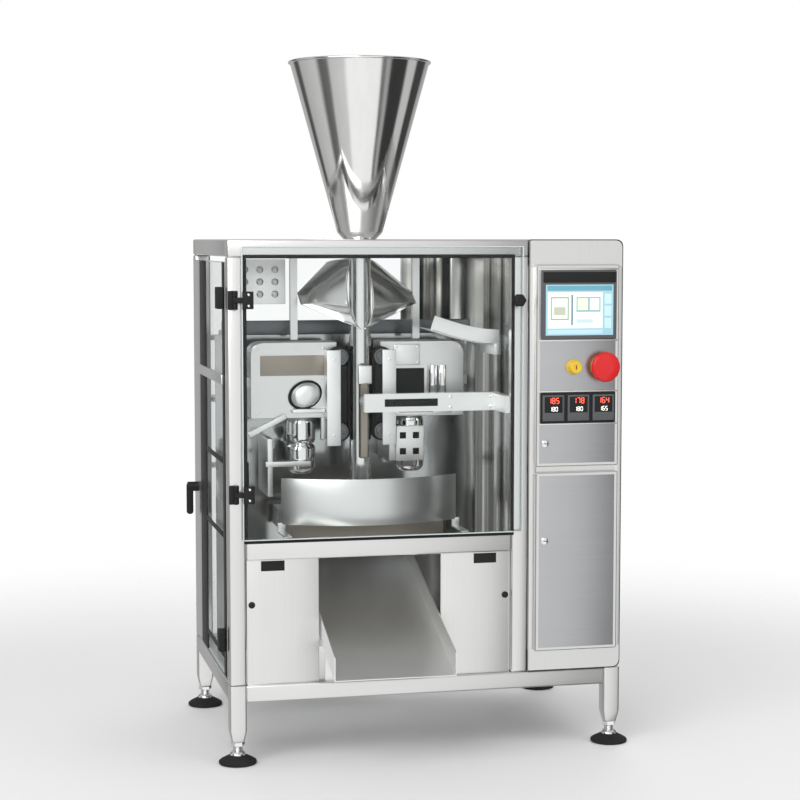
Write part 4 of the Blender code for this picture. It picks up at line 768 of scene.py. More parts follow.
def screw_heads(spots, axis="-Y", radius=0.004, height=0.002):
    """Pan heads with a cross slot left out: low domes, one at each spot."""
    dome = eased([(0, 0), (radius, 0), (radius * 0.9, height * 0.8), (radius * 0.5, height), (0, height)], 0.0006, 2)
    return aimed(turned(dome, steps=14), axis).repeated(spots)


def side_outline(points, sign, origin):
    """An outline in x and z measured from the tube, mirrored for the right unit."""
    return np.array([(origin + sign * x, z) for x, z in points])


def across_prism(outline, front, back, ease=0.002):
    """A prism of an outline in x and z that runs from front to back along y."""
    outline = np.asarray(outline, float)
    form = prism(outline, 0.0, back - front, "Z", ease)
    turn = np.array([[1, 0, 0], [0, 0, 1], [0, 1, 0]])
    return form.mapped(lambda points: points @ turn).moved((0, front, 0))


def tilted(form, degrees, centre):
    """Turns a form about the y direction through a centre."""
    angle = math.radians(degrees)
    turn = np.array([[math.cos(angle), 0, -math.sin(angle)], [0, 1, 0], [math.sin(angle), 0, math.cos(angle)]])
    return form.mapped(lambda points: (points - centre) @ turn + centre)


for unit, sign in (("left", -1), ("right", 1)):
    low, high = node_box(f"pull_housing_{unit}")
    body = f"pull_unit_{unit}"
    near, far = (0.068, 0.338)
    base, top, arm = 0.99, high[2], low[2]
    corners = [(near, base), (far, base), (far, top), (near, top)]
    shape = side_outline(eased(corners, [0.004, 0.006, HOUSING_ROLL, 0.004], 8, closed=True), sign, tube_x)
    slot_low, slot_high = 1.0845, 1.1155
    upper, lower = shape.copy(), shape.copy()
    upper[:, 1] = np.maximum(upper[:, 1], slot_high)
    lower[:, 1] = np.minimum(lower[:, 1], slot_low)
    housing = (across_prism(shape, low[1], -0.1886) + across_prism(shape, -0.1634, high[1])
               + across_prism(upper, -0.187, -0.165, 0.0) + across_prism(lower, -0.187, -0.165, 0.0))
    arm_edge = sorted([tube_x + sign * (near + 0.002), tube_x + sign * (near + 0.05)])
    housing = housing + box((arm_edge[0], low[1] + 0.002, arm), (arm_edge[1], low[1] + 0.020, base + 0.010), 0.003)
    piece(f"pull_housing_{unit}_cover", housing, SATIN["X"], body, f"pull_housing_{unit}")

    low, high = node_box(f"pull_motor_{unit}")
    motor_x, motor_y = (low + high)[:2] / 2
    reach = (high[0] - low[0]) / 2
    profile = [(0, low[2]), (reach * 0.72, low[2]), (reach, low[2] + 0.014), (reach, low[2] + 0.078),
               (reach * 0.90, low[2] + 0.088), (reach * 0.80, low[2] + 0.090), (reach * 0.80, low[2] + 0.094),
               (reach * 0.90, low[2] + 0.096), (reach, low[2] + 0.106), (reach, high[2] - 0.014),
               (reach * 0.86, high[2]), (0, high[2])]
    piece(f"pull_motor_{unit}_shell", turned(eased(profile, 0.006), (motor_x, motor_y, 0), steps=64), BRIGHT, body,
          f"pull_motor_{unit}")
print("pull housings and motors made")

# %% Belts and pulleys
BELT_RIB, BELT_PITCH, BELT_STEPS = 0.0011, 0.0075, 1200


def belt(radius, span, thickness, width):
    """Round the loop by length s: two half circles and two runs. The outer face is drawn in by a rib for
    half of each pitch, and the inner face lies on the pulleys."""
    arc = math.pi * radius
    total = 2 * (arc + span)
    s = np.linspace(0, total, BELT_STEPS, endpoint=False)
    turn = np.where(s < arc, s / radius, np.where(s < arc + span, math.pi, np.where(
        s < 2 * arc + span, math.pi + (s - arc - span) / radius, 2 * math.pi)))
    run = np.where(s < arc, span, np.where(s < arc + span, span - (s - arc), np.where(
        s < 2 * arc + span, 0.0, s - 2 * arc - span)))
    count = round(total / BELT_PITCH)
    rib = BELT_RIB * (np.sin(s / total * count * 2 * math.pi) > 0)
    out = np.stack([np.cos(turn), np.sin(turn)], -1)

    def ring(reach, side):
        place = out * np.reshape(reach, (-1, 1)) + np.stack([0 * run, run], -1)
        return np.stack([place[:, 0], np.full(len(s), side), place[:, 1]], -1)

    inner = np.full(len(s), radius)
    outer = radius + thickness - rib
    rows = [ring(inner, -width / 2), ring(outer, -width / 2), ring(outer, width / 2), ring(inner, width / 2)]
    return grid_form(np.stack(rows, 1), around=True, along=True)


for unit in ("left", "right"):
    low, high = node_box(f"pull_belt_{unit}")
    middle = (low + high) / 2
    wheel_low, wheel_high = node_box(f"idler_pulley_{unit}")
    lower_z = (wheel_low[2] + wheel_high[2]) / 2
    span = (node_box(f"drive_pulley_{unit}")[0] + node_box(f"drive_pulley_{unit}")[1])[2] / 2 - lower_z
    form = belt(0.0251, span, 0.0058, 0.040).moved((middle[0], middle[1], lower_z))
    piece(f"pull_belt_{unit}_ribbed", form, RUBBER, f"pull_unit_{unit}", f"pull_belt_{unit}")
    guide = box((middle[0] - 0.0235, low[1] + 0.003, lower_z + 0.0262), (middle[0] + 0.0235, high[1] - 0.001, lower_z + span - 0.0262),
                0.003)
    piece(f"pull_belt_{unit}_guide", guide, PLASTIC, f"pull_unit_{unit}")
    for level in ("drive", "idler"):
        wheel_low, wheel_high = node_box(f"{level}_pulley_{unit}")
        at = (middle[0], wheel_low[1], (wheel_low[2] + wheel_high[2]) / 2)
        reach, width = 0.0246, 0.044
        wheel = eased([(0, 0.003), (0.006, 0.003), (0.006, 0.001), (0.0085, 0.001), (0.0085, 0.004), (0.018, 0.004),
                       (0.0195, 0.0), (reach, 0.0), (reach, width), (0.009, width),
                       (0.009, wheel_high[1] - wheel_low[1]), (0, wheel_high[1] - wheel_low[1])], 0.0008, 2)
        spokes = rod(0.0032, 0.0022, (0, 0, 0), "Y", 0.0004, 12).repeated(
            [(at[0] + 0.0135 * math.cos(a), at[1] + 0.0022, at[2] + 0.0135 * math.sin(a))
             for a in np.radians([90, 210, 330])])
        piece(f"{level}_pulley_{unit}_wheel", turned(wheel, at, "Y", 56), DARK_SHEET, f"{level}_pulley_{unit}",
              f"{level}_pulley_{unit}")
        piece(f"{level}_pulley_{unit}_screws", spokes, DARK_GREY, f"{level}_pulley_{unit}")
print("belts and pulleys made")

# %% [markdown]
# ## Clear doors
# The front door is one sheet of acrylic in two black pin hinges, with a lobed knob. The sheet is drawn
# again as a thin block with the clear finish, and its sawn edges as a rim of their own. Its ears and the
# hinges are black mouldings, and the knob is a turned body whose radius swings five times round, so that
# it reads as a grip.

# %% Front door
low, high = node_box("front_door")
door_left, door_front, door_back = -0.56, -0.564, -0.556
DOOR_RIM = 0.003


def clear_pane(name, low, high, across, body):
    """A clear sheet that stands in z and runs along the axis numbered across. Its sawn edges are a thin
    frame of their own, because they scatter light and the faces don't."""
    inset = np.zeros(3)
    inset[[across, 2]] = DOOR_RIM
    piece(f"{name}_sheet", box(low + inset, high - inset, 0.0004, 1), CLEAR, body, name)
    rims = []
    for axis, other in ((across, 2), (2, across)):
        for start, end in ((low[axis], low[axis] + DOOR_RIM), (high[axis] - DOOR_RIM, high[axis])):
            corner, far_corner = low.copy(), high.copy()
            corner[axis], far_corner[axis] = start, end
            if axis == 2:
                corner[other] += DOOR_RIM + BUTT_GAP
                far_corner[other] -= DOOR_RIM + BUTT_GAP
            rims.append(box(corner, far_corner, 0.0008))
    piece(f"{name}_rim", joined(rims), CLEAR_EDGE, body)


clear_pane("front_door", np.array([door_left, door_front, low[2]]), np.array([high[0], door_back, high[2]]), 0,
           "front_door")
pin_x, pin_y = -0.580, -0.560
for level in ("upper", "lower"):
    low, high = node_box(f"door_hinge_{level}")
    z = (low[2] + high[2]) / 2
    third = (high[2] - low[2]) / 3
    ear = box((pin_x, door_front - 0.0012, z - third / 2 + 0.001), (door_left + 0.024, door_back + 0.0005, z + third / 2 - 0.001),
              0.002)
    flap = box((door_left + 0.001, door_front - 0.0040, low[2] + 0.002), (door_left + 0.034, door_front - 0.0001, high[2] - 0.002),
               0.003)
    piece(f"door_ear_{level}", ear + flap + rod(0.0058, third - 0.002, (pin_x, pin_y, z - third / 2 + 0.001), steps=24),
          PLASTIC, "front_door")
    leaf = box((low[0], high[1] - 0.006, low[2]), (high[0], high[1], high[2]), 0.002)
    ends = [rod(0.0060, third - 0.0008, (pin_x, pin_y, end), steps=24)
            for end in (low[2] + 0.0004, high[2] - third + 0.0004)]
    webs = [box((pin_x - 0.006, pin_y, end), (pin_x + 0.006, high[1] - 0.003, end + third - 0.0012), 0.001)
            for end in (low[2] + 0.0006, high[2] - third + 0.0006)]
    piece(f"door_hinge_{level}_leaf", leaf + joined(ends) + joined(webs), PLASTIC, "frame",
          f"door_hinge_{level}")
    spots = [(door_left + 0.020, door_front - 0.0038, z - 0.016), (door_left + 0.020, door_front - 0.0038, z + 0.016)]
    piece(f"door_ear_{level}_screws", screw_heads(spots), BRIGHT, "front_door")


def lobed(profile, lobes, depth, place, axis, steps=80):
    """A turned body whose radius also swings round the axis: r (1 - d + d cos n a)."""
    form = turned(profile, steps=steps)

    def swing(points):
        angle = np.arctan2(points[:, 1], points[:, 0])
        scale = 1 - depth + depth * np.cos(lobes * angle)
        return points * np.stack([scale, scale, np.ones_like(scale)], -1)

    return aimed(form.mapped(swing), axis, place)


low, high = node_box("front_door_knob")
knob_at = ((low[0] + high[0]) / 2, high[1], (low[2] + high[2]) / 2)
length, reach = high[1] - low[1], (high[0] - low[0]) / 2
neck = rod(0.0085, length - 0.016, knob_at, "-Y")
grip = eased([(0, length - 0.020), (reach * 0.9, length - 0.020), (reach, length - 0.014), (reach * 0.96, length - 0.004),
              (reach * 0.7, length), (0, length)], 0.004)
piece("front_door_knob_grip", lobed(grip, 6, 0.05, knob_at, "-Y") + neck, PLASTIC, "front_door",
      "front_door_knob")
print("front door dressed")

# %% Side door
low, high = node_box("side_door")
clear_pane("side_door", low, high, 1, "side_door")
REAR_STILE, DARK_STILE, FRONT_STILE, STILE_SHEET = 0.130, 0.140, 0.050, 0.0025


def side_strip(start, end, bottom, top, stand=STILE_SHEET):
    """A flat strip on the outside of the side door, from start to end along y."""
    return box((low[0] - stand, start, bottom), (low[0] + 0.0004, end, top), 0.001)


door_bottom, door_top = low[2] + 0.001, high[2] - 0.001
rear_edge = high[1] - REAR_STILE
dark_edge, front_edge = rear_edge - DARK_STILE, low[1] + FRONT_STILE
stile = side_strip(rear_edge, high[1] - 0.001, door_bottom, door_top)
piece("side_door_rear_stile", stile, SATIN["Z"], "side_door")
strips = [side_strip(low[1] + 0.004, front_edge, door_bottom, door_top),
          side_strip(dark_edge, rear_edge - 0.0005, door_bottom, door_top)]
strips += [side_strip(front_edge + 0.0005, dark_edge - 0.0005, z, z + 0.016) for z in (0.300, 0.660, 0.880)]
piece("side_door_stiles", joined(strips), PLASTIC, "side_door")
blocks = [box((low[0] - 0.024, low[1] + 0.005, z - 0.032), (low[0] - 0.0026, low[1] + 0.046, z + 0.032), 0.004)
          for z in (1.37, 0.36)]
piece("side_door_hinge_blocks", joined(blocks), PLASTIC, "side_door")
bar = box((low[0] - 0.010, low[1] + 0.03, 1.115), (low[0] - 0.0001, rear_edge + 0.02, 1.145), 0.003)
piece("side_door_bar", bar, SATIN["Y"], "side_door")

low, high = node_box("side_door_handle")
lever_y, lever_top = (low[1] + high[1]) / 2, 0.740
stem = rod(0.0155, high[0] - low[0] - 0.004, (high[0], lever_y, lever_top), "-X", steps=40)
rose = rod(0.0158, 0.006, (high[0], lever_y, lever_top), "-X", steps=40)
lever = box((low[0] + 0.0003, lever_y - 0.012, low[2]), (low[0] + 0.022, lever_y + 0.012, lever_top + 0.012), 0.009, 6)
piece("side_door_handle_lever", stem + rose + lever, PLASTIC, "side_door_handle", "side_door_handle")
print("side door dressed")

# %% [markdown]
# ## Control cabinet
# The cabinet is folded satin sheet with two darker brushed doors. On the control door sit a touch screen,
# a key switch, an emergency stop and three heat controllers. The screen's pattern is a list of plain
# coloured fields in its own material, laid over each other by position, and the controllers' numbers are
# built from seven bars each, as on the real display.

# %% Cabinet shell
CABINET_ROLL, CABINET_SHEET, CABINET_LIP = 0.024, 0.003, 0.006


def level_loop(outline, y):
    """A loop in x and z, stood up at one y."""
    return np.column_stack([outline[:, 0], np.full(len(outline), y), outline[:, 1]])


low, high = node_box("cabinet")
x0, y0, z0 = low
x1, y1, z1 = high
rolls = [0.003, CABINET_ROLL, CABINET_ROLL, 0.003]
outer = eased([(x0, z0), (x1, z0), (x1, z1), (x0, z1)], rolls, 8, closed=True)
inset = np.array([x0 + x1, z0 + z1]) / 2
scale = 1 - 2 * CABINET_SHEET / np.array([x1 - x0, z1 - z0])
inner = inset + (outer - inset) * scale
rings = [level_loop(outer, y0), level_loop(outer, y1), level_loop(inner, y1), level_loop(inner, y0)]
shell = grid_form(np.stack(rings), around=True, along=True)
shell = shell + across_prism(inner, y1 - 0.004, y1 - 0.001, 0.0)
door_low, door_high = node_box("control_door")
lower_low, lower_high = node_box("cabinet_lower_door")
left, right = door_low[0] + CABINET_LIP, door_high[0] - CABINET_LIP
levels = [(z0, lower_low[2] + CABINET_LIP), (lower_high[2] - CABINET_LIP, door_low[2] + CABINET_LIP),
          (door_high[2] - CABINET_LIP, z1)]
corner_rolls = [[0.002, CABINET_ROLL, 0.001, 0.001], [0.001] * 4, [0.001, 0.001, CABINET_ROLL, 0.002]]
for (bottom, top), eases, (start, end) in zip(levels, corner_rolls, ((x0, x1), (left, right), (x0, x1))):
    bar = eased([(start, bottom), (end, bottom), (end, top), (start, top)], eases, 8, closed=True)
    shell = shell + across_prism(bar, y0, y0 + 0.012, 0.0008)
for start, end in ((x0, left), (right, x1)):
    shell = shell + box((start, y0, levels[0][1]), (end, y0 + 0.012, levels[2][0]), 0.001)
piece("cabinet_shell", shell, SATIN["Z"], "frame", "cabinet")
print("cabinet shell:", low.round(3), high.round(3))

# %% Doors, hinges and locks
CABINET_FRONT = -0.5683
for door, body in (("control_door", "control_door"), ("cabinet_lower_door", "cabinet_lower_door")):
    low, high = node_box(door)
    sheet = box((low[0] + 0.011, CABINET_FRONT - 0.0008, low[2] + 0.010), (high[0] - 0.011, CABINET_FRONT + 0.002, high[2] - 0.010),
                0.0006)
    piece(f"{door}_panel", sheet, PANEL["X"], body)
    lock_z = low[2] + 0.62 * (high[2] - low[2]) if door == "cabinet_lower_door" else low[2] + 0.07
    lock_at = (low[0] + 0.028, CABINET_FRONT - 0.0008, lock_z)
    cup = eased([(0, 0.006), (0.0085, 0.006), (0.0085, 0.004), (0.0105, 0.004), (0.0115, 0.0025), (0.0115, 0), (0, 0)], 0.0006, 2)
    piece(f"{door}_lock", turned(cup, lock_at, "-Y", 36), BRIGHT, body)
    slot = box((lock_at[0] - 0.0055, lock_at[1] - 0.0064, lock_z - 0.0012), (lock_at[0] + 0.0055, lock_at[1] - 0.0058, lock_z + 0.0012), 0.0002)
    piece(f"{door}_lock_slot", slot, PLASTIC, body)
print("cabinet doors dressed")

# %% [markdown]
# ## Inside and round the cabinet
# When its doors swing open a control cabinet shows a mounting plate, slotted wiring ducts and rows of
# clip-on modules. Each row is a list of module widths, summed to give their places, so one loop fills the
# plate. Outside, screwed access panels carry louvres: a louvre is a small hood whose height follows half
# a sine wave.

# %% Mounting plate, ducts and modules
PLATE_Y, PLATE_SHEET, DUCT_DEPTH, DUCT_HEIGHT = -0.150, 0.003, 0.055, 0.038
ROW_LEVELS = (0.480, 0.700, 1.000, 1.240)
ROW_WIDTHS = ((0.060, 0.018, 0.018, 0.018, 0.054), (0.036, 0.036, 0.036, 0.018, 0.045),
              (0.072, 0.018, 0.054, 0.027), (0.045, 0.045, 0.018, 0.018, 0.036))
ROW_HEIGHT, MODULE_HEIGHT, MODULE_DEPTH, MODULE_GAP = 0.120, 0.092, 0.066, 0.001
plate_left, plate_right = 0.330, 0.578
piece("cabinet_mounting_plate", box((plate_left, PLATE_Y, 0.275), (plate_right, PLATE_Y + PLATE_SHEET, 1.500), 0.001),
      PALE, "frame")
ducts, rails, dark_modules, pale_modules = [], [], [], []
for level, widths in zip(ROW_LEVELS, ROW_WIDTHS):
    duct_low = level + ROW_HEIGHT / 2
    ducts.append(box((plate_left + 0.004, PLATE_Y - DUCT_DEPTH, duct_low), (plate_right - 0.004, PLATE_Y - 0.0001, duct_low + DUCT_HEIGHT),
                     0.002))
    fingers = np.arange(plate_left + 0.010, plate_right - 0.014, 0.008)
    finger = box((0, PLATE_Y - DUCT_DEPTH + 0.004, duct_low - 0.010), (0.005, PLATE_Y - 0.002, duct_low + 0.002), 0.0005, 1)
    ducts.append(finger.repeated(np.column_stack([fingers, 0 * fingers, 0 * fingers])))
    rails.append(box((plate_left + 0.006, PLATE_Y - 0.0080, level - 0.0175), (plate_right - 0.006, PLATE_Y - 0.0001, level + 0.0175), 0.001))
    starts = plate_left + 0.016 + np.cumsum([0.0, *widths[:-1]])
    for place, (start, width) in enumerate(zip(starts, widths)):
        outer = box((start, PLATE_Y - MODULE_DEPTH, level - MODULE_HEIGHT / 2),
                    (start + width - MODULE_GAP, PLATE_Y - 0.0085, level + MODULE_HEIGHT / 2), 0.003)
        nose = box((start + 0.002, PLATE_Y - MODULE_DEPTH - 0.012, level - 0.022),
                   (start + width - MODULE_GAP - 0.002, PLATE_Y - MODULE_DEPTH + 0.001, level + 0.022), 0.002)
        (dark_modules if place % 3 == 0 else pale_modules).append(outer + nose)
piece("cabinet_ducts", joined(ducts), DARK_GREY, "frame")
piece("cabinet_rails", joined(rails), BRIGHT, "frame")
piece("cabinet_dark_modules", joined(dark_modules), PLASTIC, "frame")
piece("cabinet_pale_modules", joined(pale_modules), WHITE, "frame")
print("cabinet modules:", len(dark_modules) + len(pale_modules))

# %% Access panels and louvres
PANEL_SHEET, LOUVRE_LONG, LOUVRE_TALL, LOUVRE_OUT, LOUVRE_PITCH = 0.0012, 0.150, 0.011, 0.007, 0.021


def louvre(across=25, steps=9):
    """A hood over u along it and v up it: height h sin(pi u)^0.25 cos(pi v / 2), open below."""
    u, v = np.linspace(0, 1, across)[None], np.linspace(0, 1, steps)[:, None]
    rise = LOUVRE_OUT * np.sin(math.pi * u) ** 0.25 * np.cos(math.pi * v / 2)
    points = np.stack([(u - 0.5) * LOUVRE_LONG + 0 * v, LOUVRE_TALL * v + 0 * u, rise], -1)
    return grid_form(points, around=False)


hood = louvre()
side_way = np.array([[0, 1, 0], [0, 0, 1], [1, 0, 0]])
rear_way = np.array([[-1, 0, 0], [0, 0, 1], [0, 1, 0]])
low, high = node_box("cabinet")
side_panel = box((high[0], -0.500, 0.300), (high[0] + PANEL_SHEET, 0.200, 1.100), 0.0005)
rear_panel = box((low[0] + 0.030, high[1], 0.300), (high[0] - 0.030, high[1] + PANEL_SHEET, 1.490), 0.0005)
piece("cabinet_access_panels", side_panel + rear_panel, SATIN["Z"], "frame")
rows = LOUVRE_PITCH * np.arange(9)
side_spots = [(high[0] + PANEL_SHEET, y, z + row) for y in (-0.300, 0.000) for z in (0.380, 0.830) for row in rows]
rear_spots = [((low[0] + high[0]) / 2, high[1] + PANEL_SHEET, z + row) for z in (0.380, 1.240) for row in rows]
louvres = (hood.mapped(lambda points: points @ side_way).repeated(side_spots)
           + hood.mapped(lambda points: points @ rear_way).repeated(rear_spots))
hoods = piece("cabinet_louvres", louvres, SATIN["Z"], "frame")
thick = hoods.modifiers.new("sheet", "SOLIDIFY")
thick.thickness, thick.offset = PANEL_SHEET, 0.0
side_screws = [(high[0] + PANEL_SHEET, y, z) for y in (-0.488, -0.150, 0.188) for z in (0.312, 0.700, 1.088)]
side_screws = [spot for spot in side_screws if spot[1:] != (-0.150, 0.700)]
rear_screws = [(x, high[1] + PANEL_SHEET, z) for x in (low[0] + 0.042, high[0] - 0.042)
               for z in (0.312, 0.705, 1.090, 1.478)]
piece("cabinet_panel_screws", screw_heads(side_screws, "X") + screw_heads(rear_screws, "Y"), BRIGHT, "frame")
print("louvres:", len(side_spots) + len(rear_spots))

# %% Screen
SCREEN_FIELDS = [
    ((0.00, 1.00, 0.00, 1.00), (0.30, 0.50, 0.58)),
    ((0.02, 0.98, 0.88, 0.98), (0.11, 0.30, 0.38)),
    ((0.03, 0.84, 0.14, 0.85), (0.78, 0.82, 0.78)),
    ((0.07, 0.34, 0.30, 0.76), (0.30, 0.36, 0.28)),
    ((0.09, 0.32, 0.33, 0.73), (0.76, 0.78, 0.68)),
    ((0.12, 0.29, 0.40, 0.56), (0.42, 0.46, 0.34)),
    ((0.375, 0.400, 0.20, 0.80), (0.08, 0.20, 0.26)),
    ((0.45, 0.81, 0.46, 0.76), (0.24, 0.42, 0.44)),
    ((0.47, 0.62, 0.50, 0.73), (0.76, 0.72, 0.54)),
    ((0.65, 0.79, 0.50, 0.73), (0.70, 0.76, 0.70)),
    ((0.45, 0.70, 0.24, 0.32), (0.48, 0.60, 0.60)),
    ((0.87, 0.97, 0.62, 0.82), (0.46, 0.64, 0.70)),
    ((0.87, 0.97, 0.38, 0.58), (0.46, 0.64, 0.70)),
    ((0.87, 0.97, 0.14, 0.34), (0.46, 0.64, 0.70)),
    ((0.03, 0.84, 0.03, 0.11), (0.42, 0.60, 0.66)),
]
SCREEN_GLOW = 0.40
low, high = node_box("touch_screen")
glass_low = np.array([low[0] + 0.012, low[2] + 0.012])
glass_high = np.array([high[0] - 0.012, high[2] - 0.042])


def lit_screen(name):
    """Plain fields laid over each other: inside a field its colour takes the place of what lies below."""
    material, f = new_material(name)
    x, _, z = f.parts()
    u = (x - float(glass_low[0])) / float(glass_high[0] - glass_low[0])
    v = (z - float(glass_low[1])) / float(glass_high[1] - glass_low[1])
    colour = rgb(0.02, 0.03, 0.04)
    for (left, right, bottom, top), shade in SCREEN_FIELDS:
        inside = (u > left) * (u < right) * (v > bottom) * (v < top)
        colour = f.mix(inside, colour, rgb(*shade))
    f.close(f.surface(Base_Color=colour, Roughness=0.18, Emission_Color=colour, Emission_Strength=SCREEN_GLOW))
    return material


SCREEN = lit_screen("screen_fields")
back, front = high[1], low[1]
piece("touch_screen_bezel", box((low[0], front + 0.002, low[2]), (high[0], back, high[2]), 0.004), DARK_GREY, "control_door",
      "touch_screen")
piece("touch_screen_band", box((low[0] + 0.004, front + 0.0008, glass_high[1] + 0.006), (high[0] - 0.004, front + 0.004, high[2] - 0.004),
                               0.001), PLASTIC, "control_door")
piece("touch_screen_glass", box((glass_low[0], front + 0.0012, glass_low[1]), (glass_high[0], front + 0.004, glass_high[1]),
                                0.0004), SCREEN, "control_door")
rims = [box((low[0] - 0.006, CABINET_FRONT - 0.004, z), (high[0] + 0.006, CABINET_FRONT - 0.0005, z + 0.006), 0.001)
        for z in (low[2] - 0.0065, high[2] + 0.0005)]
piece("touch_screen_rims", joined(rims), SATIN["X"], "control_door")
print("screen fields:", len(SCREEN_FIELDS))

# %% Heat controllers
SEGMENTS = {"0": "abcdef", "1": "bc", "2": "abged", "3": "abgcd", "4": "fgbc", "5": "afgcd", "6": "afgedc",
            "7": "abc", "8": "abcdefg", "9": "abcdfg"}
BARS = {"a": (0, 1, 1), "g": (0, 0, 1), "d": (0, -1, 1), "f": (-1, 0.5, 0), "b": (1, 0.5, 0), "e": (-1, -0.5, 0),
        "c": (1, -0.5, 0)}


def number(text, centre, height, face):
    """Digits of seven bars each, side by side round a centre in x and z."""
    bars = []
    half, thin = height / 2, height * 0.07
    for place, digit in enumerate(text):
        middle = centre[0] + (place - (len(text) - 1) / 2) * height * 0.78
        for key in SEGMENTS[digit]:
            side, level, flat = BARS[key]
            x, z = middle + side * half * 0.5, centre[1] + level * half
            wide, tall = (half * 0.42, thin) if flat else (thin, half * 0.42)
            bars.append(box((x - wide, face - 0.0003, z - tall), (x + wide, face + 0.0003, z + tall), 0.0001, 1))
    return joined(bars)


def glowing(name, colour, strength):
    material, f = new_material(name)
    f.close(f.surface(Base_Color=rgb(*colour), Roughness=0.4, Emission_Color=rgb(*colour), Emission_Strength=strength))
    return material


GLOW_RED = glowing("red_digits", (0.95, 0.10, 0.06), 1.4)
GLOW_WHITE = glowing("white_digits", (0.95, 0.95, 0.88), 0.9)
low, high = node_box("heat_controllers")
strip_front = low[1] + 0.004
piece("heat_controllers_strip", box((low[0], strip_front, low[2]), (high[0], high[1], high[2]), 0.003), PLASTIC, "control_door",
      "heat_controllers")
wide = (high[0] - low[0]) / 3
bezels, windows, reds, whites, keys = [], [], [], [], []
for place, (upper_text, lower_text) in enumerate((("185", "180"), ("178", "180"), ("164", "165"))):
    x = low[0] + wide * (place + 0.5)
    middle_z = (low[2] + high[2]) / 2
    bezels.append(box((x - 0.034, low[1] + 0.0008, middle_z - 0.039), (x + 0.034, strip_front + 0.001, middle_z + 0.039), 0.003))
    windows.append(box((x - 0.028, low[1] + 0.0004, middle_z - 0.014), (x + 0.028, low[1] + 0.002, middle_z + 0.034), 0.001))
    reds.append(number(upper_text, (x, middle_z + 0.022), 0.016, low[1] + 0.0003))
    whites.append(number(lower_text, (x, middle_z - 0.003), 0.012, low[1] + 0.0003))
    keys += [box((x + k - 0.0045, low[1] + 0.0002, middle_z - 0.032), (x + k + 0.0045, low[1] + 0.002, middle_z - 0.024), 0.001)
             for k in (-0.021, -0.007, 0.007, 0.021)]
piece("heat_controller_bezels", joined(bezels), DARK_GREY, "control_door")
piece("heat_controller_windows", joined(windows), PLASTIC, "control_door")
piece("heat_controller_upper_digits", joined(reds), GLOW_RED, "control_door")
piece("heat_controller_lower_digits", joined(whites), GLOW_WHITE, "control_door")
piece("heat_controller_keys", joined(keys), DARK_GREY, "control_door")
rims = [box((low[0] - 0.006, CABINET_FRONT - 0.004, z), (high[0] + 0.006, CABINET_FRONT - 0.0005, z + 0.005), 0.001)
        for z in (low[2] - 0.0055, high[2] + 0.0005)]
piece("heat_controller_rims", joined(rims), SATIN["X"], "control_door")
print("controllers:", len(bezels))

# %% Emergency stop, key switch and main switch
low, high = node_box("estop_button")
stop_x, stop_z, stop_reach = (low[0] + high[0]) / 2, (low[2] + high[2]) / 2, (high[0] - low[0]) / 2
stop_back, stop_front = high[1], low[1]
depth = stop_back - stop_front
dome = [(0, 0.001), (0.0135, 0.001), (0.0135, 0.0140), (stop_reach * 0.95, 0.0140), (stop_reach, 0.0175),
        (stop_reach, 0.0225), (stop_reach * 0.90, 0.0285), (stop_reach * 0.55, depth - 0.0012), (0, depth)]
dome = eased(dome, [0, 0.0003, 0.0003, 0.003, 0.003, 0.003, 0.003, 0.003, 0])
piece("estop_button_mushroom", turned(dome, (stop_x, stop_back, stop_z), "-Y", 72), RED, "estop_button",
      "estop_button")
collar_rim = eased([(0.0148, 0), (0.0375, 0), (0.0375, 0.004), (0.0348, 0.0135), (0.0148, 0.0135)], 0.001, 2)
piece("estop_collar", turned(collar_rim, (stop_x, CABINET_FRONT - 0.0009, stop_z), "-Y", 56, hollow=True), YELLOW, "control_door")

low, high = node_box("key_switch")
key_x, key_z = (low[0] + high[0]) / 2, (low[2] + high[2]) / 2
key_back, depth, reach = high[1], high[1] - low[1], (high[0] - low[0]) / 2
barrel = eased([(0, 0), (reach, 0), (reach, 0.005), (reach * 0.86, 0.009), (reach * 0.80, depth - 0.003), (reach * 0.70, depth),
                (reach * 0.45, depth), (reach * 0.42, depth - 0.002), (0, depth - 0.002)], 0.0012)
piece("key_switch_barrel", turned(barrel, (key_x, key_back, key_z), "-Y", 48), YELLOW, "key_switch", "key_switch")
slot = box((key_x - 0.0011, key_back - depth + 0.0006, key_z - 0.006), (key_x + 0.0011, key_back - depth + 0.003, key_z + 0.006), 0.0004)
piece("key_switch_slot", slot, PLASTIC, "key_switch")

low, high = node_box("main_switch")
switch_y, switch_z = (low[1] + high[1]) / 2, (low[2] + high[2]) / 2
reach, depth = (high[1] - low[1]) / 2, high[0] - low[0]
disc = eased([(0, 0), (reach, 0), (reach, 0.012), (reach * 0.86, 0.018), (0, 0.018)], 0.002)
handle = box((low[0] + 0.012, switch_y - 0.009, switch_z - reach * 0.82), (low[0] + depth, switch_y + 0.009, switch_z + reach * 0.82),
             0.006, 4)
piece("main_switch_grip", turned(disc, (low[0], switch_y, switch_z), "X", 64) + handle, RED, "main_switch", "main_switch")
plate = box((low[0] - 0.0004, switch_y - 0.036, switch_z - 0.036), (low[0] - 0.0001, switch_y + 0.036, switch_z + 0.036), 0.00005, 1)
piece("main_switch_plate", plate, YELLOW, "frame")
print("switches made")

# %% [markdown]
# ## Behind the front door
# Round the pull units sit brackets, small covers and trays of white-coated sheet. They break the polished
# back wall into light and dark, which is most of what shows through the clear door. Each is a plain eased
# block or a bent strip, fixed to the frame or riding on the unit that carries it.

# %% Unit covers and brackets
low, high = node_box("pull_housing_left")
cover_front = low[1]
band = box((-0.455, cover_front - 0.0018, 1.122), (-0.2500, cover_front - 0.0002, 1.184), 0.0008)
piece("pull_left_band", band, BRONZE, "pull_unit_left")
CAPSULE_WIDE = np.array([1.25, 1.0, 1.0])
capsule_at = np.array([-0.316, cover_front - 0.0002, 1.062])


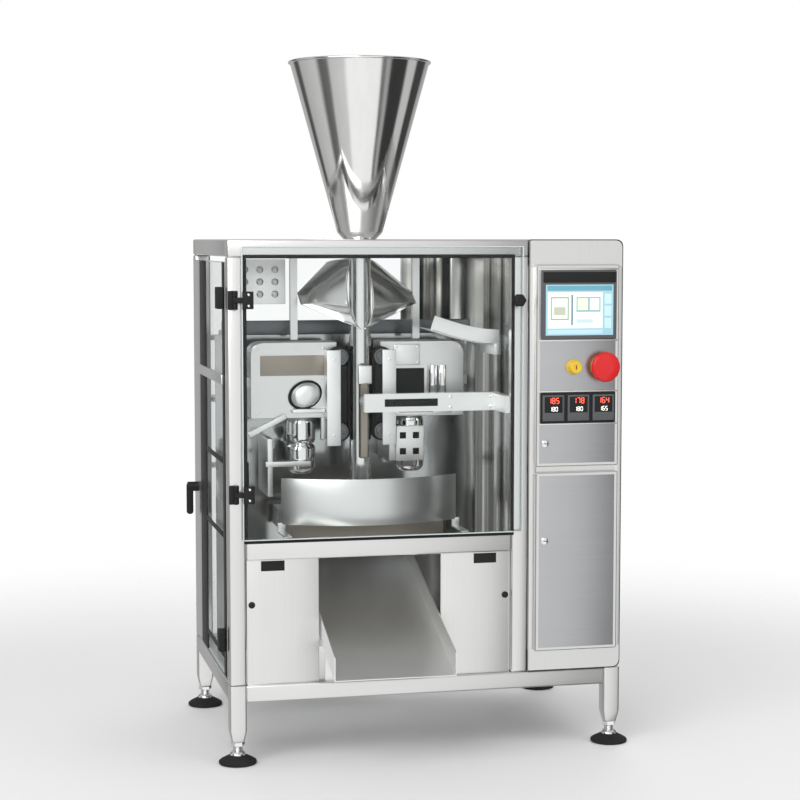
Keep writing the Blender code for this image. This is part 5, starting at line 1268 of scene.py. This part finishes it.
def capsule(profile):
    """A turned dome on the cover's face, drawn wide and tilted."""
    wide = turned(eased(profile, 0.006), steps=72).mapped(lambda points: points @ AIMS["-Y"] * CAPSULE_WIDE)
    return tilted(wide.moved(capsule_at), -24, capsule_at)


dome = capsule([(0, 0.006), (0.037, 0.006), (0.037, 0.018), (0.030, 0.028), (0.014, 0.032), (0, 0.032)])
# A black rim a little wider than the capsule, behind it: a painted shadow outline round the capsule.
shadow_outline = capsule([(0, 0), (0.044, 0), (0.043, 0.009), (0.037, 0.010), (0, 0.010)])
piece("pull_left_capsule", dome, PALE, "pull_unit_left")
piece("pull_left_capsule_shadow", shadow_outline, RUBBER, "pull_unit_left")
shelf = box((-0.360, cover_front - 0.030, 1.008), (-0.2575, cover_front - 0.0002, 1.020), 0.002)
piece("pull_left_shelf", shelf, PALE, "pull_unit_left")
spots = [(x, cover_front - 0.0002, z) for x in (-0.465, -0.258) for z in (1.006, 1.205)]
piece("pull_left_screws", screw_heads(spots), BRIGHT, "pull_unit_left")

right_white = [((-0.036, 1.150), (0.048, 1.215)), ((-0.036, 0.995), (0.150, 1.018))]
plates = [box((a[0], cover_front - 0.006, a[1]), (b[0], cover_front - 0.0002, b[1]), 0.002) for a, b in right_white]
piece("pull_right_plates", joined(plates), PALE, "pull_unit_right")
window = box((-0.036, cover_front - 0.004, 1.030), (0.062, cover_front - 0.0002, 1.140), 0.002)
slot = box((-0.020, cover_front - 0.0066, 1.002), (0.090, cover_front - 0.0058, 1.011), 0.0003)
piece("pull_right_window", window + slot, PLASTIC, "pull_unit_right")
cylinders = [rod(0.013, 0.125, (x, cover_front - 0.0145, 1.025), ease=0.003, steps=36) for x in (0.086, 0.117)]
piece("pull_right_cylinders", joined(cylinders), BRIGHT, "pull_unit_right")
spots = [(x, cover_front - 0.0060, z) for x in (-0.028, 0.040) for z in (1.158, 1.207)]
spots += [(0.176, cover_front - 0.0002, z) for z in (1.006, 1.205)]
piece("pull_right_screws", screw_heads(spots), BRIGHT, "pull_unit_right")

GUARD_REACH, GUARD_SHEET, GUARD_CLEAR = 0.043, 0.003, 0.0065
for unit, sign in (("left", -1), ("right", 1)):
    belt_low, belt_high = node_box(f"pull_belt_{unit}")
    inner_x = (belt_low[0] + belt_high[0]) / 2
    outer_x = inner_x + sign * GUARD_REACH
    front = belt_low[1] - GUARD_CLEAR
    face = box((inner_x, front, belt_low[2] - 0.012), (outer_x, front + GUARD_SHEET, belt_high[2] - 0.010), 0.001)
    leg = box((outer_x - sign * GUARD_SHEET, front + GUARD_SHEET + BUTT_GAP, belt_low[2] + 0.070),
              (outer_x, cover_front - 0.0002, belt_high[2] - 0.010), 0.001)
    piece(f"pull_{unit}_belt_guard", face + leg, PALE, f"pull_unit_{unit}")
    spots = [((inner_x + outer_x) / 2, front, z) for z in (belt_low[2] + 0.02, belt_high[2] - 0.04)]
    piece(f"pull_{unit}_belt_guard_screws", screw_heads(spots), BRIGHT, f"pull_unit_{unit}")

wall = node_box("back_plate")[0][1]
fixed = [box((-0.442, wall - 0.190, 0.842), (-0.300, wall - 0.178, 0.858), 0.002),
         box((-0.436, wall - 0.188, 0.750), (-0.418, wall - 0.0002, 0.930), 0.003),
         box((-0.049, wall - 0.1690, 0.850), (-0.026, wall - 0.0002, 0.960), 0.003),
         box((-0.0295, wall - 0.180, 0.850), (0.062, wall - 0.168, 0.960), 0.003)]
diagonal = tilted(box((-0.500, wall - 0.196, 0.962), (-0.372, wall - 0.186, 0.978), 0.002), -26,
                  np.array([-0.436, wall - 0.19, 0.970]))
piece("wall_brackets", joined(fixed) + diagonal, PALE, "frame")
marks = [box((x - 0.010, wall - 0.1815, z - 0.010), (x + 0.010, wall - 0.1795, z + 0.010), 0.001)
         for x in (-0.007, 0.035) for z in (0.880, 0.930)]
piece("wall_bracket_holes", joined(marks), PLASTIC, "frame")
print("covers and brackets made")

# %% Air unit
AIR_X, AIR_Z = -0.520, 0.815
unit_parts, bowls = [], []
for y in (wall - 0.150, wall - 0.068):
    unit_parts.append(box((AIR_X - 0.028, y - 0.033, AIR_Z - 0.052), (AIR_X + 0.028, y + 0.033, AIR_Z + 0.045), 0.006))
    unit_parts.append(rod(0.019, 0.042, (AIR_X, y, AIR_Z + 0.044), ease=0.004, steps=40))
    bowl = eased([(0, 0), (0.012, 0), (0.023, 0.016), (0.025, 0.070), (0, 0.070)], 0.006)
    bowls.append(turned(bowl, (AIR_X, y, AIR_Z - 0.120), steps=48))
unit_parts.append(box((AIR_X - 0.020, wall - 0.117, AIR_Z - 0.025), (AIR_X + 0.020, wall - 0.101, AIR_Z + 0.025), 0.002))
piece("air_unit_bodies", joined(unit_parts), PLASTIC, "frame")
piece("air_unit_bowls", joined(bowls), DARK_GREY, "frame")
shelf = box((AIR_X - 0.022, wall - 0.036, AIR_Z - 0.046), (AIR_X + 0.022, wall - 0.0002, AIR_Z + 0.040), 0.003)
piece("air_unit_bracket", shelf, SATIN["Z"], "frame")
dial = eased([(0, 0), (0.020, 0), (0.020, 0.010), (0.018, 0.012), (0, 0.012)], 0.001, 2)
piece("air_unit_gauge", turned(dial, (AIR_X - 0.0281, wall - 0.150, AIR_Z), "-X", 40), PALE, "frame")
print("air unit made")

# %% Bay walls


def painted_reflection_finish(name):
    """Wavy polished wall: slow upright waves bend what it mirrors, and its colour carries dark and cream
    upright streaks that are painted reflections of the hall.
    """
    material, f = new_material(name)
    wide = f.noise((11.0, 9.0, 0.25), 2.0, 0.5)
    fine = f.noise((40.0, 40.0, 0.5), 2.0, 0.6)
    level = f.between(0.44, 0.56, wide * 0.7 + fine * 0.3)
    # The dark and cream streaks in this colour are painted reflections of the hall's light and dark.
    colour = f.mix(level, rgb(0.035, 0.035, 0.034), rgb(0.92, 0.91, 0.86))
    normal = f.bump(wide, 0.4, 0.02)
    f.close(f.surface(Base_Color=colour, Metallic=0.8, Roughness=0.14 + 0.12 * fine, Normal=normal))
    return material


PAINTED_REFLECTION_FINISH = painted_reflection_finish("painted_reflection_wall")
post_low, post_high = node_box("post_front_right")
rear_low = node_box("post_rear_right")[0]
base_top, top_under = node_box("base_frame")[1][2], node_box("top_frame")[0][2]
liner = box((post_high[0] - 0.0016, post_high[1] + 0.001, base_top + 0.001), (post_high[0] + 0.0001, rear_low[1] - 0.001, top_under - 0.001),
            0.0004)
piece("bay_liner", liner, PAINTED_REFLECTION_FINISH, "frame")
rear_liner = box((0.085, rear_low[1] + 0.002, top_under - 0.250), (rear_low[0] - 0.0002, rear_low[1] + 0.0036, top_under - 0.001),
                 0.0004)
piece("rear_liner", rear_liner, PAINTED_REFLECTION_FINISH, "frame")
plate_low, plate_high = node_box("back_plate")
# A dark strip on top of the back plate: painted shade for the shadowed space above the pull housings.
shade_strip = box((-0.5490, plate_low[1] - 0.012, plate_high[2] + 0.0002), (0.2540, plate_high[1], plate_high[2] + 0.045), 0.003)
piece("painted_shade_strip", shade_strip, DARK_SHEET, "frame")
print("bay walls made")

# %% Upper plate and tray
UPPER_FRONT = -0.300
upper = box((-0.5430, UPPER_FRONT, 1.345), (-0.388, UPPER_FRONT + 0.004, 1.480), 0.002)
upper_foot = box((-0.5490, -0.320, 1.340), (-0.5430, -0.276, 1.490), 0.002)
piece("upper_plate", upper + upper_foot, PALE, "frame")
holes = [(x, UPPER_FRONT - 0.0001, z) for x in (-0.512, -0.466, -0.420) for z in (1.375, 1.412, 1.449)]
piece("upper_plate_glands", screw_heads(holes, radius=0.011, height=0.006), PANEL["X"], "frame")
bend = np.linspace(0, 1, 32)
tray_line = np.column_stack([0.040 + 0.209 * bend, np.full(32, -0.345), 1.268 - 0.045 * np.sin(bend * math.pi / 2)])
tray = carried(eased(rectangle(0.16, 0.003), 0.0008, 2, closed=True), tray_line)
lip = carried(eased(rectangle(0.003, 0.046), 0.0008, 2, closed=True), tray_line + (0.0, -0.0785, 0.021))
piece("upper_tray", tray + lip, PALE, "frame")
piece("upper_tray_foot", box((0.232, -0.430, 1.190), (0.2545, -0.260, 1.224), 0.002), PALE, "frame")
print("upper plate and tray made")

# %% Seal arm
slot = box((-0.105, -0.4114, 1.036), (0.060, -0.4106, 1.059), 0.0003)
piece("long_seal_arm_slot", slot, PLASTIC, "frame")
spots = [(x, -0.4110, z) for x in (0.100, 0.225) for z in (1.032, 1.063)]
piece("long_seal_arm_screws", screw_heads(spots, radius=0.0055, height=0.003), BRIGHT, "frame")
block = box((tube_x - 0.021, -0.3300, 1.100), (tube_x + 0.021, -0.3136, 1.156), 0.003)
piece("long_seal_block", block, PALE, "long_seal")
print("seal arm dressed")

# %% Jaw guard, jaws and chute
guard_line = np.linspace(-1, 1, 40)
guard_points = np.column_stack([tube_x + 0.27 * guard_line, -0.385 - 0.085 * (1 - guard_line ** 2),
                                np.full(40, 0.755)])
guard = carried(eased(rectangle(0.003, 0.140), 0.001, 2, closed=True), guard_points)
piece("jaw_guard", guard, SATIN["X"], "frame")
feet = [box((tube_x + s * 0.27 - 0.012, -0.505, 0.661), (tube_x + s * 0.27 + 0.012, -0.382, 0.665), 0.001)
        + box((tube_x + s * 0.27 - 0.012, -0.388, 0.661), (tube_x + s * 0.27 + 0.012, -0.384, 0.690), 0.001)
        for s in (-1, 1)]
piece("jaw_guard_feet", joined(feet), SATIN["Y"], "frame")
RIB_RADIUS, RIB_LEVELS = 0.0016, (0.637, 0.643, 0.649, 0.655)
for jaw, face in (("front_jaw", node_box("front_jaw")[1][1]), ("rear_jaw", node_box("rear_jaw")[0][1])):
    jaw_low, jaw_high = node_box("front_jaw")
    rib = rod(RIB_RADIUS, jaw_high[0] - jaw_low[0] - 0.060, (jaw_low[0] + 0.030, face, 0), "X", 0.0005, 10)
    piece(f"{jaw}_ribs", rib.repeated([(0, 0, z) for z in RIB_LEVELS]), BRONZE, jaw)
print("jaw guard and ribs made")

# %% [markdown]
# ## Film unwind
# A wound roll shows fine rings on its ends and a satin sheen on its face, with a paper core. The rings
# come from the distance to the roll's axis in the finish, not from geometry.

# %% Roll, core and rollers
roll_low, roll_high = node_box("film_roll")
roll_y, roll_z = (roll_low + roll_high)[1:] / 2
roll_reach = (roll_high[1] - roll_low[1]) / 2
ROLL_EASE, RINGS_PER_METRE = 0.003, 1900.0


def wound(name):
    """Rings on the roll's ends: a sine of the distance from the roll's axis, with slow bands. The face
    has faint hoops that depend on x alone."""
    material, f = new_material(name)
    x, y, z = f.parts()
    radius = ((y - float(roll_y)) ** 2 + (z - float(roll_z)) ** 2) ** 0.5
    at_end = (x < float(roll_low[0] + ROLL_EASE)).most(x > float(roll_high[0] - ROLL_EASE))
    rings = (radius * RINGS_PER_METRE).wave() * 0.25 + (radius * 41.0).wave() * 0.25 + 0.5
    hoops = f.noise((70.0, 0.4, 0.4), 2.0)
    pattern = at_end * rings + (1 - at_end) * hoops
    colour = f.mix(pattern, rgb(0.62, 0.66, 0.68), rgb(0.84, 0.86, 0.87))
    f.close(f.surface(Base_Color=colour, Roughness=0.14 + 0.22 * at_end, Coat_Weight=0.3))
    return material


WOUND = wound("wound_film")
PAPER = moulded("paper_core", (0.42, 0.28, 0.16), 0.75, 300.0, 0.2)
roll_form = eased([(0.045, 0), (roll_reach, 0), (roll_reach, roll_high[0] - roll_low[0]), (0.045, roll_high[0] - roll_low[0])],
                  ROLL_EASE, closed=True)
piece("film_roll_wound", turned(roll_form, (roll_low[0], roll_y, roll_z), "X", 144, hollow=True), WOUND, "film_reel",
      "film_roll")
core = [(0.0383, 0.001), (0.0449, 0.001), (0.0449, roll_high[0] - roll_low[0] - 0.001), (0.0383, roll_high[0] - roll_low[0] - 0.001)]
piece("film_roll_core", turned(core, (roll_low[0], roll_y, roll_z), "X", 64, hollow=True), PAPER, "film_reel")
for roller, body in (("film_roller_lower", "film_roller_lower"), ("film_roller_upper", "film_roller_upper"),
                     ("dancer_roller", "dancer_roller")):
    low, high = node_box(roller)
    length, reach = high[0] - low[0], (high[1] - low[1]) / 2
    at = (low[0], (low[1] + high[1]) / 2, (low[2] + high[2]) / 2)
    end = 0.030 if roller != "dancer_roller" else 0.030
    profile = eased([(0, 0), (0.0095, 0), (0.0095, end), (reach, end), (reach, length - end), (0.0095, length - end),
                     (0.0095, length), (0, length)], 0.002, 3)
    piece(f"{roller}_tube", turned(profile, at, "X", 64), ALUMINIUM, body, roller)
print("unwind dressed")

# %% Bolts and flanges
FLANGE_HALF, FLANGE_SHEET, BOLT_RADIUS, BOLT_HEIGHT = 0.034, 0.006, 0.0075, 0.005


def hex_heads(spots, axis):
    """Hexagon bolt heads with a bevelled crown, one at each spot."""
    crown = [(0, 0), (BOLT_RADIUS, 0), (BOLT_RADIUS, BOLT_HEIGHT * 0.8), (BOLT_RADIUS * 0.86, BOLT_HEIGHT),
             (0, BOLT_HEIGHT)]
    return aimed(turned(crown, steps=6), axis).repeated(spots)


bolts, flanges = [], []
base_low, base_high = node_box("base_frame")
for side_name in ("left", "right"):
    arm_low, arm_high = node_box(f"unwind_arm_{side_name}")
    arm_x, back = (arm_low[0] + arm_high[0]) / 2, arm_low[1]
    for start, end in ((arm_x - FLANGE_HALF, arm_low[0] - 0.0002), (arm_high[0] + 0.0002, arm_x + FLANGE_HALF)):
        flanges.append(box((start, back, arm_low[2] + 0.002), (end, back + FLANGE_SHEET, base_high[2] - 0.002), 0.002))
        bolts.append(hex_heads([((start + end) / 2, back + FLANGE_SHEET, (arm_low[2] + base_high[2]) / 2)], "Y"))
piece("unwind_arm_flanges", joined(flanges), SATIN["X"], "frame")
plate_low, plate_high = node_box("forming_plate")
bolts.append(hex_heads([(x, y, plate_high[2]) for x in (plate_low[0] + 0.022, -0.330, 0.035, plate_high[0] - 0.022)
                        for y in (plate_low[1] + 0.022, plate_high[1] - 0.022)], "Z"))
wall_low, wall_high = node_box("back_plate")
wall_spots = [(x, z) for x in (wall_low[0] + 0.030, -0.450, 0.150, wall_high[0] - 0.030) for z in (0.30, 0.58, 1.21)]
bolts.append(hex_heads([(x, wall_high[1], z) for x, z in wall_spots], "Y"))
bolts.append(hex_heads([(x, wall_low[1], z) for x, z in wall_spots], "-Y"))
piece("frame_bolts", joined(bolts), BRIGHT, "frame")
print("bolts:", sum(len(form.caps) // 2 for form in bolts))

# %% [markdown]
# ## Finish on the solids that stay
# The rest of the solids already have the right shape. They only take a finish.

# %% Solids that stay
KEPT = {
    "control_door": SATIN["X"], "cabinet_lower_door": SATIN["X"], "back_plate": MIRROR,
    "forming_plate": SATIN["X"], "pull_rail": SATIN["X"], "long_seal_bar": BRONZE, "long_seal_arm": PALE,
    "front_jaw": BRONZE, "rear_jaw": BRONZE, "jaw_slide": SATIN["X"], "jaw_block_left": ALUMINIUM,
    "jaw_block_right": ALUMINIUM, "jaw_cylinder": ALUMINIUM, "knife": BRIGHT, "discharge_chute": PALE,
    "unwind_arm_left": SATIN["Z"], "unwind_arm_right": SATIN["Z"], "unwind_shaft": SATIN["X"], "dancer_arms": SATIN["X"],
}
for name, finish in KEPT.items():
    nodes[name].data.materials.clear()
    nodes[name].data.materials.append(finish)
print("solids kept:", len(KEPT))
